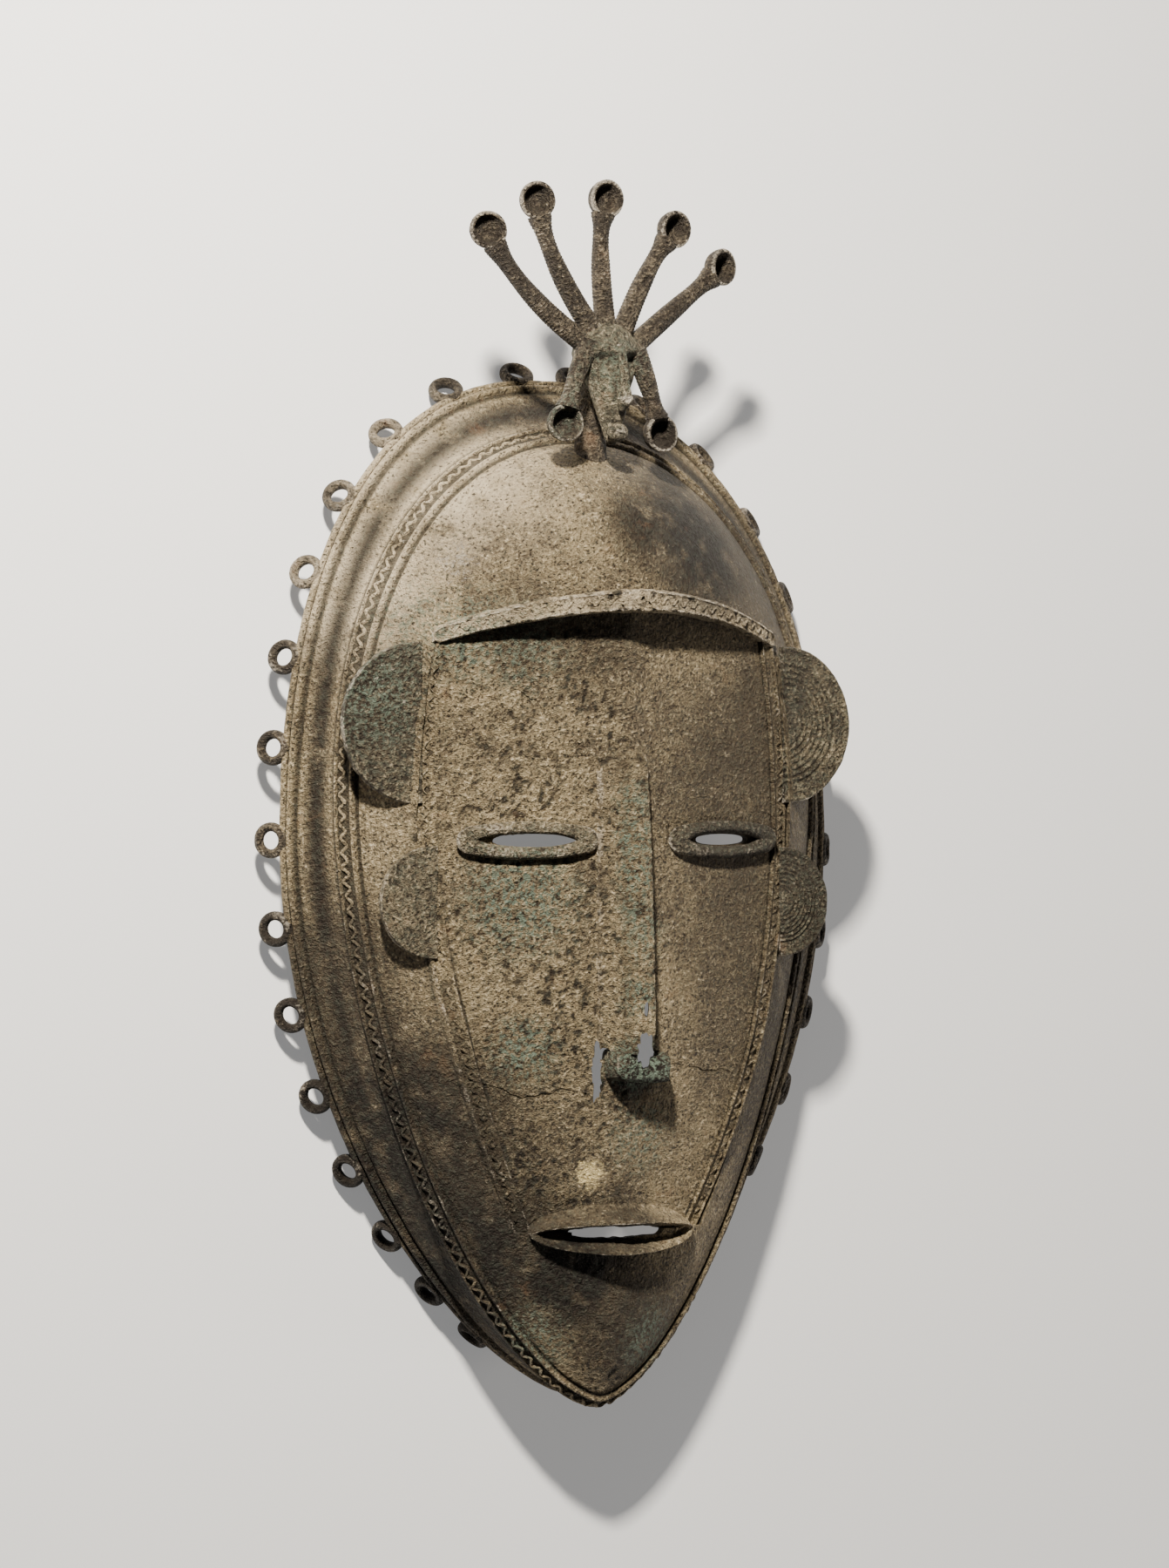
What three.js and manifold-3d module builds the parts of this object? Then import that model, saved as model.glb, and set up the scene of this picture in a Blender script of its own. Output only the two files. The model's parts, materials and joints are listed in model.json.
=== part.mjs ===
// Cast copper-alloy face mask with a crest, lying on its back with the face up.
// Millimetres, +Z up, +Y towards the crest, +X to the right of someone looking at the face.
// The mask is drawn upright against its own rim, then laid down on the loops of that rim.

import * as THREE from 'three';
import { mergeVertices } from 'three/addons/utils/BufferGeometryUtils.js';
import Module from 'manifold-3d';

const wasm = await Module();
wasm.setup();

// Sizes of the shell
const WALL = 2.8;
const TOLERANCE = 0.3;
const RIM = { topY: 140, chinY: -147, midY: 10, halfWidth: 87, topPower: 2.15, fall: 2, point: 0.72 };
const BAND = { topY: 123.5, chinY: -150, midY: 20, halfWidth: 75, topPower: 2.08, fall: 1.7, point: 0.64 };
const RIM_HEIGHT = { top: -13, side: 0, chin: 4 };
const BAND_HEIGHT = { top: 7, side: 15, chin: 24 };
const BAND_WIDTH = 5.2;
const CORD = { height: 0.9, groove: 0.2 };
const DOME_STATIONS = [1.14, 1.32, 1.56, 1.8];
const BEAD = { width: 4.4, height: 1.1, brokenBelowY: -80, lostEdge: 1.2 };
const SPINE = { chinY: -105, browY: 70, chinHeight: 36, browHeight: 52 };
const DOME = { inner: 2.4, outer: 1.15 };
const AROUND = { outside: 48, hollow: 28 };
const THROUGH = 100;

// Sizes of the face
const FACE = { ridgeHeight: 44.5, slope: 0.16, bow: 0.0022, edge: 59, widestY: 22, taper: 0.00277 };
const FACE_TAPER_POWER = 1.93;
const MOUTH_DROP = { startY: -40, run: 58.5, depth: 9.4, power: 1.5 };
const FACE_BOTTOM_Y = -100;
const RECESS = { margin: 0.3, depth: 0.5, top: 90 };
const STRIP = { width: 5.6, bevel: 0.6, height: 1.0 };
const BROW = { y: 72, fall: 10, reach: 54, width: 6.5, endWidth: 5, height: 2.6, rise: -0.8, undercut: 2.6 };
const EYE = { left: -29.5, right: 33, y: 9, halfLength: 17.8, halfHeight: 3.6, cord: 1.6 };
const EYE_SLITS = [{ x: -26.6, length: 24, height: 3.7 }, { x: 33, length: 20, height: 3.1 }];
const NOSE_SECTIONS = [[34, 2.6, 0.6], [30, 3.4, 3], [5, 4, 5], [-25, 4.4, 5.8], [-49, 4.6, 6]];
const NOSE_EDGE = { root: 6, drop: 1.4, top: 0.6 };
const NOSTRIL_BAR = { x: 0.3, y: -54.5, size: [10.6, 4.6, 4.6] };
const NOSE_HOLES = [
  { x: -8, y: -56, halfWidth: 3, halfHeight: 7 },
  { x: 3.2, y: -48.5, halfWidth: 2.3, halfHeight: 5 },
];
const MOUTH = {
  y: -98.5, halfWidth: 25.6, halfHeight: 7.5, lipHeight: 6.5, bulge: 1.1, slitHalfWidth: 16, slitHeight: 3.2,
};
const LIP_SECTIONS = [
  { width: 0.95, height: 0.8, base: -10, lift: 0 }, { width: 0.98, height: 0.95, base: -1, lift: 0 },
  { width: 0.98, height: 0.86, base: 0.5, lift: 0.5 }, { width: 1.02, height: 1.02, base: 1.2, lift: 1 },
  { width: 0.97, height: 0.82, base: 1.2, lift: 1 }, { width: 0.68, height: 0.3, base: 0.5, lift: 0.15 },
];

// Sizes of the ear lobes, the rim loops and the crest
const LOBES = [
  { side: -1, y: 41.4, radius: 22.3, shift: 0 }, { side: 1, y: 41.4, radius: 22.3, shift: 0 },
  { side: -1, y: -8, radius: 15.5, shift: -3.5 }, { side: 1, y: -9, radius: 15.5, shift: 0 },
];
const LOBE_GROOVES = [0.62];
const LOBE = { thickness: 2.2, lip: 1.0, grooveDepth: 0.5, tiltDeg: 6, seat: 3 };
const LOOPS = { perSide: 15, lastY: -131, radius: 3.9, wire: 1.35, out: 3.3, flat: 0.9, crowding: 0.27 };
const FIRST_LOOP_X = { left: 5, right: 12 };
// Sections of the head give Y, half width, front and back; the strut's give Y, height and radius
const HEAD = { skullY: 145, height: 29, skullSize: [10, 8.5, 9] };
const HEAD_SECTIONS = [
  [151, 6, 33, 26], [146, 9, 36, 22], [140, 8.4, 36, 23],
  [132, 6, 37, 26], [126, 3.6, 36, 28], [120.5, 1.6, 34, 30],
];
const HEAD_NOSE = { path: [[145, 35.5], [139, 38], [132.5, 39]], sizes: [[1.3, 1.3], [1.3, 1.4], [2, 1.6]] };
const HEAD_MOUTH = { y: 123.4, height: 35, size: [3.3, 3.2, 3.3] };
const CUP = { radius: 5.4, wall: 1.3, depth: 5.2 };
const STRUT = [[110, 20, 5.5], [118, 19.5, 4.6], [132, 21, 4.4], [143, 26, 5.5]];
const ROD = { root: 3.1, tip: 2.6, sides: 6, steps: 4 };
const CREST_RODS = [
  { root: [-7, 148], bend: [-25, 159], cup: [-37.5, 178], height: 30 },
  { root: [-4.5, 152], bend: [-17, 168], cup: [-22.1, 187], height: 30 },
  { root: [0, 152], bend: [-2.9, 173.5], cup: [0, 188.5], height: 30 },
  { root: [5, 151], bend: [12.1, 168.5], cup: [22.1, 181], height: 30 },
  { root: [8, 147], bend: [24.8, 161], cup: [37.5, 171], height: 30 },
  { root: [-6.5, 148], bend: [-11.5, 138], cup: [-14.9, 125], height: 33 },
  { root: [8, 146], bend: [12.5, 136], cup: [15.7, 123], height: 33 },
];

const METAL = new THREE.MeshStandardMaterial({ color: 0x7d6f55, roughness: 0.62, metalness: 0.75 });

const vec = (x, y, z) => new THREE.Vector3(x, y, z);
const mix = THREE.MathUtils.lerp;
const circleSteps = (count) => Array.from({ length: count }, (_, i) => (2 * Math.PI * i) / count);
const range = (count, from, to) => Array.from({ length: count + 1 }, (_, i) => mix(from, to, i / count));

// Solids and booleans

function solid(geometry) {
  const bare = geometry.index ? geometry.clone() : geometry;
  bare.deleteAttribute('normal');
  bare.deleteAttribute('uv');
  const welded = mergeVertices(bare, 1e-4);
  const vertProperties = new Float32Array(welded.attributes.position.array);
  const triVerts = new Uint32Array(welded.index.array);
  return new wasm.Manifold(new wasm.Mesh({ numProp: 3, vertProperties, triVerts, tolerance: TOLERANCE }));
}

function meshOf(manifold, name) {
  const { vertProperties, triVerts } = manifold.getMesh();
  const geometry = new THREE.BufferGeometry();
  geometry.setAttribute('position', new THREE.BufferAttribute(new Float32Array(vertProperties), 3));
  geometry.setIndex(new THREE.BufferAttribute(new Uint32Array(triVerts), 1));
  geometry.computeVertexNormals();
  const mesh = new THREE.Mesh(geometry, METAL);
  mesh.name = name;
  return mesh;
}

// Turns the faces of a closed skin outwards, whichever way its rings run
function facingOut(points, index) {
  const geometry = new THREE.BufferGeometry().setFromPoints(points);
  geometry.setIndex(index);
  const body = solid(geometry);
  if (body.volume() > 0) return body;
  return solid(geometry.setIndex(index.reverse()));
}

const joined = (parts) => parts.reduce((whole, part) => whole.add(part));

// A closed skin through rings of points that all have the same count.
// ends is 'caps' for a capped tube, 'loop' for a ring of rings and 'seam' where the end rings are folded flat
function skin(rings, ends) {
  const count = rings[0].length;
  const points = rings.flat();
  const index = [];
  const last = ends === 'loop' ? rings.length : rings.length - 1;
  for (let r = 0; r < last; r += 1) {
    const next = (r + 1) % rings.length;
    for (let i = 0; i < count; i += 1) {
      const j = (i + 1) % count;
      const [a, b, c, d] = [r * count + i, r * count + j, next * count + j, next * count + i];
      const short = points[a].distanceTo(points[c]) < points[b].distanceTo(points[d]);
      index.push(...(short ? [a, b, c, a, c, d] : [a, b, d, b, c, d]));
    }
  }
  if (ends === 'caps') {
    [0, rings.length - 1].forEach((r) => {
      const centre = rings[r].reduce((sum, p) => sum.add(p), vec(0, 0, 0)).divideScalar(count);
      points.push(centre);
      for (let i = 0; i < count; i += 1) {
        const [a, b] = [r * count + i, r * count + (i + 1) % count];
        index.push(points.length - 1, ...(r === 0 ? [b, a] : [a, b]));
      }
    });
  }
  return facingOut(points, index);
}

// Rings of a tube along a path, each an ellipse of half sizes [side, up]
function tubeRings(path, sizes, sides, up) {
  return path.map((point, i) => {
    const along = path[Math.min(i + 1, path.length - 1)].clone().sub(path[Math.max(i - 1, 0)]).normalize();
    return crossSection(point, along, sizes[i], sides, up);
  });
}

function crossSection(point, along, [side, rise], sides, up) {
  const across = along.clone().cross(up).normalize();
  const lift = across.clone().cross(along).normalize();
  return Array.from({ length: sides }, (_, k) => {
    const turn = (2 * Math.PI * k) / sides;
    return point.clone()
      .addScaledVector(across, side * Math.cos(turn))
      .addScaledVector(lift, rise * Math.sin(turn));
  });
}

// A slab between two heights over the same grid of places
function slab(rows, columns, place, top, bottom) {
  const level = (height) => rows.map((r) => columns.map((c) => {
    const [x, y] = place(r, c);
    return vec(x, y, height(x, y, r, c));
  }));
  const [upper, lower] = [level(top), level(bottom)];
  const rings = rows.map((_, i) => [...upper[i], ...lower[i].reverse()]);
  return gridCapped(rings, columns.length);
}

// Joins the rings of a slab and closes its first and last ring with strips
function gridCapped(rings, width) {
  const count = rings[0].length;
  const index = [];
  for (let r = 0; r < rings.length - 1; r += 1) {
    for (let i = 0; i < count; i += 1) {
      const [a, b] = [r * count + i, r * count + (i + 1) % count];
      index.push(a, a + count, b, b, a + count, b + count);
    }
  }
  [0, (rings.length - 1) * count].forEach((start) => {
    for (let i = 0; i < width - 1; i += 1) {
      const [a, b, c, d] = [start + i, start + i + 1, start + count - 2 - i, start + count - 1 - i];
      index.push(...(start === 0 ? [a, b, c, a, c, d] : [a, c, b, a, d, c]));
    }
  });
  return facingOut(rings.flat(), index);
}

// Shape of the shell: an egg-shaped rim, a zigzag band above it and a dome over a spine

function eggPoint(egg, angle) {
  const [s, c] = [Math.sin(angle), Math.cos(angle)];
  const width = Math.sign(s) * egg.halfWidth;
  if (c < 0) return [width * (1 - (-c) ** egg.fall) ** egg.point, egg.midY + (egg.midY - egg.chinY) * c];
  const power = 2 / egg.topPower;
  return [width * Math.abs(s) ** power, egg.midY + (egg.topY - egg.midY) * c ** power];
}

function rimPoint(angle) {
  const [x, y] = eggPoint(RIM, angle);
  const [end, height] = y > RIM.midY ? [RIM.topY, RIM_HEIGHT.top] : [RIM.chinY, RIM_HEIGHT.chin];
  return vec(x, y, mix(RIM_HEIGHT.side, height, ((y - RIM.midY) / (end - RIM.midY)) ** 2));
}

function bandPoint(angle) {
  const [x, y] = eggPoint(BAND, angle);
  const [end, top] = y > 0 ? [BAND.topY, BAND_HEIGHT.top] : [BAND.chinY, BAND_HEIGHT.chin];
  return vec(x, y, mix(BAND_HEIGHT.side, top, (y / end) ** 2));
}

function spinePoint(angle) {
  const share = (bandPoint(angle).y - BAND.chinY) / (BAND.topY - BAND.chinY);
  return vec(0, mix(SPINE.chinY, SPINE.browY, share), mix(SPINE.chinHeight, SPINE.browHeight, share));
}

// Station 0 is the rim, 1 the band and 2 the spine
function shellPoint(angle, station) {
  const band = bandPoint(angle);
  if (station <= 1) return rimPoint(angle).lerp(band, station);
  const spine = spinePoint(angle);
  const near = 2 - station;
  const rise = (1 - near ** DOME.inner) ** (1 / DOME.outer);
  return vec(mix(spine.x, band.x, near), mix(spine.y, band.y, near), mix(band.z, spine.z, rise));
}

function shellNormal(angle, station) {
  const [turn, step] = [0.01, 0.02];
  const along = shellPoint(angle + turn, station).sub(shellPoint(angle - turn, station));
  const inward = shellPoint(angle, station + step).sub(shellPoint(angle, station - step));
  return inward.cross(along).normalize();
}

const liftedPoint = (angle, station, lift) =>
  shellPoint(angle, station).addScaledVector(shellNormal(angle, station), lift);

const flangeLength = (angle) => rimPoint(angle).distanceTo(bandPoint(angle));
const beadLost = (angle) => rimPoint(angle).x > 0 && rimPoint(angle).y < BEAD.brokenBelowY;

// Stations and lifts from the rim up to the spine on the outside
function outerProfile(angle) {
  const flange = flangeLength(angle);
  const dome = bandPoint(angle).distanceTo(spinePoint(angle));
  const bead = beadLost(angle) ? 0 : BEAD.height;
  const edge = beadLost(angle) ? BEAD.lostEdge / flange : 0;
  const half = BAND_WIDTH / 2;
  return [
    [edge, 0], [edge, bead], [BEAD.width / flange, bead], [BEAD.width * 1.2 / flange, 0], [0.55, 0],
    [1 - half / flange, 0], [1 - half / 2 / flange, CORD.height], [1, CORD.groove],
    [1 + half / 2 / dome, CORD.height], [1 + half / dome, 0], ...DOME_STATIONS.map((station) => [station, 0]),
  ];
}

const INNER_STATIONS = [-0.5, 0.5, 1, 1.14, 1.35, 1.65];
const innerProfile = () => INNER_STATIONS.map((station) => [station, -WALL]);
const FOOT = { outside: -3, hollow: -60 };

function shellBody(profile, around, drop, footHeight) {
  const turns = circleSteps(around);
  const stations = profile(0).length;
  const foot = turns.map((angle) => vec(0, spinePoint(angle).y, footHeight));
  const rings = [foot];
  for (let s = 0; s < stations; s += 1) {
    rings.push(turns.map((angle) => liftedPoint(angle, ...profile(angle)[s])));
  }
  rings.push(turns.map((angle) => spinePoint(angle).setZ(spinePoint(angle).z - drop)));
  return skin(rings, 'seam');
}

// Shape of the face panel

const faceEdge = (y) => FACE.edge - FACE.taper * Math.abs(y - FACE.widestY) ** FACE_TAPER_POWER;
const browY = (x) => BROW.y - BROW.fall * (x / BROW.reach) ** 2;

function faceHeight(x, y) {
  const away = Math.abs(x);
  const fall = Math.max(0, (MOUTH_DROP.startY - y) / MOUTH_DROP.run) ** MOUTH_DROP.power;
  return FACE.ridgeHeight - FACE.slope * away - FACE.bow * away ** 2 - MOUTH_DROP.depth * fall;
}

// A column lies at a share of the half width, and stands in from there by some millimetres
const stripPlaces = [0, STRIP.bevel, STRIP.width - STRIP.bevel, STRIP.width];
const stripColumns = stripPlaces.map((inward) => ({ share: 1, inward }));
const plainColumns = (shares) => shares.map((share) => ({ share, inward: 0 }));
const PANEL_COLUMNS = [...stripColumns, ...plainColumns([0.6, 0.3, 0])];
const PLAIN_COLUMNS = plainColumns([1, 0.6, 0]);

function facePlace(row, { share, inward }, inset) {
  const level = mix(FACE_BOTTOM_Y, BROW.y + BROW.undercut - inset, row);
  const x = share * (faceEdge(level) - inset - inward);
  return [x, level + (browY(x) - BROW.y) * row];
}

function faceSlab(inset, columns, top, bottom) {
  const mirrored = columns.slice(0, -1).reverse().map(({ share, inward }) => ({ share: -share, inward }));
  const rows = range(columns.length + 2, 0, 1);
  return slab(rows, [...columns, ...mirrored], (r, c) => facePlace(r, c, inset), top, bottom);
}

const onStrip = ({ share, inward }) => Math.abs(share) === 1 && inward > 0 && inward < STRIP.width;

// Height of the dome over a place, found by turning the line from spine to band until it passes there
function domeHeight(x, y) {
  let [low, high] = [1e-6, Math.PI - 1e-6];
  const aside = Math.max(Math.abs(x), 0.01);
  const lineAt = (angle) => {
    const [band, spine] = [bandPoint(angle), spinePoint(angle)];
    const near = Math.min(aside / band.x, 1);
    return { angle, near, y: mix(spine.y, band.y, near) };
  };
  for (let i = 0; i < 40; i += 1) {
    const middle = (low + high) / 2;
    if (lineAt(middle).y > y) low = middle;
    else high = middle;
  }
  const line = lineAt(low);
  return shellPoint(line.angle, 2 - line.near).z;
}

// Parts joined to the shell

function facePanel() {
  const top = (x, y, row, column) => faceHeight(x, y) + (onStrip(column) ? STRIP.height : 0);
  return faceSlab(0, PANEL_COLUMNS, top, () => 0);
}

function browBand() {
  const path = range(10, -BROW.reach, BROW.reach).map((x) => {
    const y = browY(x) + BROW.width / 2;
    return vec(x, y, domeHeight(x, y) + BROW.rise);
  });
  const sizes = path.map((p) => {
    const share = Math.abs(p.x) / BROW.reach;
    return [mix(BROW.width, BROW.endWidth, share) / 2, BROW.height];
  });
  return skin(tubeRings(path, sizes, 6, vec(0, 0, 1)), 'caps');
}

function eyeRim(middle) {
  const turns = circleSteps(16);
  const place = (turn) => {
    const x = middle + EYE.halfLength * Math.cos(turn);
    const y = EYE.y + EYE.halfHeight * Math.sin(turn);
    return vec(x, y, faceHeight(x, y) + EYE.cord * 0.6);
  };
  const rings = turns.map((turn) => {
    const along = place(turn + 0.01).sub(place(turn - 0.01)).normalize();
    return crossSection(place(turn), along, [EYE.cord, EYE.cord], 5, vec(0, 0, 1));
  });
  return skin(rings, 'loop');
}

function ellipsePrism(x, y, halfLength, halfHeight, segments = 8) {
  const shape = new THREE.Shape().absellipse(x, y, halfLength, halfHeight, 0, 2 * Math.PI);
  const settings = { depth: THROUGH, curveSegments: segments, bevelEnabled: false };
  return solid(new THREE.ExtrudeGeometry(shape, settings));
}

function noseRidge() {
  const rings = NOSE_SECTIONS.map(([y, halfWidth, rise]) => {
    const base = faceHeight(0, y);
    const [root, edge] = [-NOSE_EDGE.root, rise - NOSE_EDGE.drop];
    const half = [[1, root], [1, edge], [NOSE_EDGE.top, rise]];
    const side = [...half, ...half.map(([share, up]) => [-share, up]).reverse()];
    return side.map(([share, up]) => vec(share * halfWidth, y, base + up));
  });
  return skin(rings, 'caps');
}

function ball(x, y, z, [sizeX, sizeY, sizeZ], segments = 12) {
  const sphere = new THREE.SphereGeometry(1, segments, Math.round(segments * 0.6));
  return solid(sphere.scale(sizeX, sizeY, sizeZ).translate(x, y, z));
}

function lips() {
  const turns = circleSteps(20);
  const rings = LIP_SECTIONS.map(({ width, height, base, lift }) => turns.map((turn) => {
    const x = MOUTH.halfWidth * width * Math.cos(turn);
    const y = MOUTH.y + MOUTH.halfHeight * height * Math.sin(turn);
    const bulge = Math.sqrt(Math.max(0, 1 - (x / MOUTH.halfWidth / MOUTH.bulge) ** 2));
    return vec(x, y, faceHeight(x, MOUTH.y) + base + MOUTH.lipHeight * lift * bulge);
  }));
  return skin(rings, 'caps');
}

function earLobe({ side, y, radius, shift }) {
  const top = LOBE.thickness / 2;
  const grooves = LOBE_GROOVES.flatMap((share) => [
    [radius * share + 1.2, top], [radius * share, top - LOBE.grooveDepth], [radius * share - 1.2, top],
  ]);
  const profile = [
    [0, -top], [radius, -top], [radius, top + LOBE.lip], [radius - 1.5, top + LOBE.lip], ...grooves, [0, top],
  ].map(([r, h]) => new THREE.Vector2(r, h));
  const disc = solid(new THREE.LatheGeometry(profile, 20).rotateX(Math.PI / 2));
  const keep = new THREE.BoxGeometry(radius + 1 + LOBE.seat, 3 * radius, 20);
  const half = disc.intersect(solid(keep.translate((radius + 1 - LOBE.seat) / 2, 0, 0)));
  const turn = new THREE.Matrix4().makeRotationY(THREE.MathUtils.degToRad(LOBE.tiltDeg));
  if (side < 0) turn.premultiply(new THREE.Matrix4().makeRotationZ(Math.PI));
  const edge = faceEdge(y) + shift;
  turn.premultiply(new THREE.Matrix4().makeTranslation(side * edge, y, faceHeight(edge, y)));
  return placed(half, turn);
}

function placed(manifold, matrix) {
  return solid(meshOf(manifold, 'piece').geometry.applyMatrix4(matrix));
}

// Loops along one half of the rim from the crest to the chin, closer together towards the chin

function loopAngles(firstX) {
  const fine = range(720, 0, Math.PI);
  const start = fine.findIndex((angle) => rimPoint(angle).x >= firstX);
  const end = fine.findIndex((angle) => rimPoint(angle).y <= LOOPS.lastY);
  const lengths = [0];
  for (let i = start + 1; i <= end; i += 1) {
    lengths.push(lengths.at(-1) + rimPoint(fine[i]).distanceTo(rimPoint(fine[i - 1])));
  }
  return range(LOOPS.perSide - 1, 0, 1).map((share) => {
    const place = share + LOOPS.crowding * share ** 3 * (1 - share);
    return fine[start + lengths.findIndex((length) => length >= place * lengths.at(-1) - 1e-6)];
  });
}

function loopFrame(angle) {
  const rim = rimPoint(angle);
  const out = rim.clone().sub(shellPoint(angle, 0.5)).normalize();
  const normal = shellNormal(angle, 0.1);
  return { centre: rim.addScaledVector(out, LOOPS.out), out, normal, along: out.clone().cross(normal) };
}

function rimLoop(angle) {
  const { centre, out, normal, along } = loopFrame(angle);
  const torus = new THREE.TorusGeometry(LOOPS.radius, LOOPS.wire, 4, 8);
  const matrix = new THREE.Matrix4().makeBasis(along, normal.clone().cross(along), normal);
  return solid(torus.applyMatrix4(matrix.setPosition(centre)));
}

// The crest: a strut, a long-faced head and rods that end in cups

function crestHead() {
  const skull = ball(0, HEAD.skullY, HEAD.height, HEAD.skullSize);
  const rings = HEAD_SECTIONS.map(([y, halfWidth, front, back]) => Array.from({ length: 8 }, (_, k) => {
    const turn = (Math.PI * k) / 4;
    return vec(halfWidth * Math.cos(turn), y, mix(back, front, 0.5 + 0.5 * Math.sin(turn)));
  }));
  const face = skin(rings.reverse(), 'caps');
  const nosePath = HEAD_NOSE.path.map(([y, z]) => vec(0, y, z));
  const nose = skin(tubeRings(nosePath, HEAD_NOSE.sizes, 6, vec(0, 0, 1)), 'caps');
  const mouth = ball(0, HEAD_MOUTH.y, HEAD_MOUTH.height, HEAD_MOUTH.size, 10);
  return joined([skull, face, nose, mouth]);
}

function crestStrut() {
  const path = STRUT.map(([y, z]) => vec(0, y, z));
  return skin(tubeRings(path, STRUT.map(([, , radius]) => [radius, radius]), 8, vec(0, 0, 1)), 'caps');
}

function crestRod({ root, bend, cup, height }) {
  const ends = [vec(...root, height - 1), vec(...bend, height - 1), vec(...cup, height - 1)];
  const stop = ends[2].clone().add(ends[1].clone().sub(ends[2]).setLength(CUP.radius - 1));
  const curve = new THREE.QuadraticBezierCurve3(ends[0], ends[1], stop);
  const path = curve.getPoints(ROD.steps);
  const sizes = path.map((_, i) => Array(2).fill(mix(ROD.root, ROD.tip, i / ROD.steps)));
  return skin(tubeRings(path, sizes, ROD.sides, vec(0, 0, 1)), 'caps');
}

function crestCup({ cup, height }) {
  const inside = CUP.radius - CUP.wall;
  const profile = [
    [0, -CUP.depth], [CUP.radius * 0.8, -CUP.depth * 0.85], [CUP.radius, 0], [inside, 0],
    [inside * 0.6, -CUP.depth * 0.5], [0, -CUP.depth * 0.65],
  ].map(([r, h]) => new THREE.Vector2(r, h));
  const bowl = new THREE.LatheGeometry(profile, 10).rotateX(Math.PI / 2);
  return solid(bowl.translate(cup[0], cup[1], height + 1));
}

// Laying down: the mask tips back until its first and last loops both touch the floor

const [leftLoops, rightLoops] = [FIRST_LOOP_X.left, FIRST_LOOP_X.right].map(loopAngles);

function lowestOf(angle) {
  const { centre, out } = loopFrame(angle);
  return centre.addScaledVector(out, LOOPS.radius).add(vec(0, 0, -LOOPS.wire));
}

const [topRest, chinRest] = [lowestOf(leftLoops[0]), lowestOf(leftLoops.at(-1))];
const restTilt = Math.atan2(chinRest.z - topRest.z, topRest.y - chinRest.y);

function floorCutter() {
  const depth = 30;
  const middle = topRest.clone().add(chinRest).divideScalar(2).setX(0);
  const box = new THREE.BoxGeometry(300, 500, depth).translate(0, 0, LOOPS.flat - depth / 2);
  return solid(box.rotateX(-restTilt).translate(0, middle.y, middle.z));
}

function maskCasting() {
  const below = (depth) => (x, y) => faceHeight(x, y) - depth;
  const noseHole = ({ x, y, halfWidth, halfHeight }) => ellipsePrism(x, y, halfWidth, halfHeight, 3);
  const outside = shellBody(outerProfile, AROUND.outside, 0, FOOT.outside)
    .subtract(faceSlab(-RECESS.margin, PLAIN_COLUMNS, () => RECESS.top, below(RECESS.depth)))
    .add(joined([facePanel(), browBand(), noseRidge(), lips(), crestStrut()]))
    .subtract(joined(NOSE_HOLES.map(noseHole)));
  const hollow = shellBody(innerProfile, AROUND.hollow, WALL, FOOT.hollow)
    .subtract(faceSlab(-WALL, PLAIN_COLUMNS, () => RECESS.top, below(WALL)))
    .add(faceSlab(WALL, PLAIN_COLUMNS, below(WALL), () => FOOT.hollow));
  const nostrils = ball(NOSTRIL_BAR.x, NOSTRIL_BAR.y, faceHeight(0, NOSTRIL_BAR.y), NOSTRIL_BAR.size);
  const relief = [
    nostrils, eyeRim(EYE.left), eyeRim(EYE.right), crestHead(), ...CREST_RODS.map(crestRod), ...CREST_RODS.map(crestCup),
    ...LOBES.map(earLobe),
    ...[...rightLoops, ...leftLoops.map((angle) => -angle)].map(rimLoop),
  ];
  const openings = [
    ...EYE_SLITS.map(({ x, length, height }) => ellipsePrism(x, EYE.y, length / 2, height / 2)),
    ellipsePrism(0, MOUTH.y, MOUTH.slitHalfWidth, MOUTH.slitHeight / 2),
  ];
  return outside.subtract(hollow).add(joined(relief)).subtract(joined(openings)).subtract(floorCutter());
}

const mask = meshOf(maskCasting(), 'mask');
const lying = new THREE.Group();
lying.rotation.x = restTilt;
lying.add(mask);
const group = new THREE.Group();
group.add(lying);
const box = new THREE.Box3().setFromObject(group, true);
lying.position.set(-(box.min.x + box.max.x) / 2, -(box.min.y + box.max.y) / 2, -box.min.z);

export default group;
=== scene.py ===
"""Looks of a cast copper-alloy face mask that lies face up on the loops of its rim.

The mask is drawn upright, in millimetres, against its own rim, and laid down as the last step.
"""

import json
import logging
import math
from dataclasses import dataclass, field
from enum import Enum
from typing import Callable, Sequence

import bmesh
import bpy
import numpy as np
from mathutils import Matrix, Vector
from mathutils.kdtree import KDTree

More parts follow.
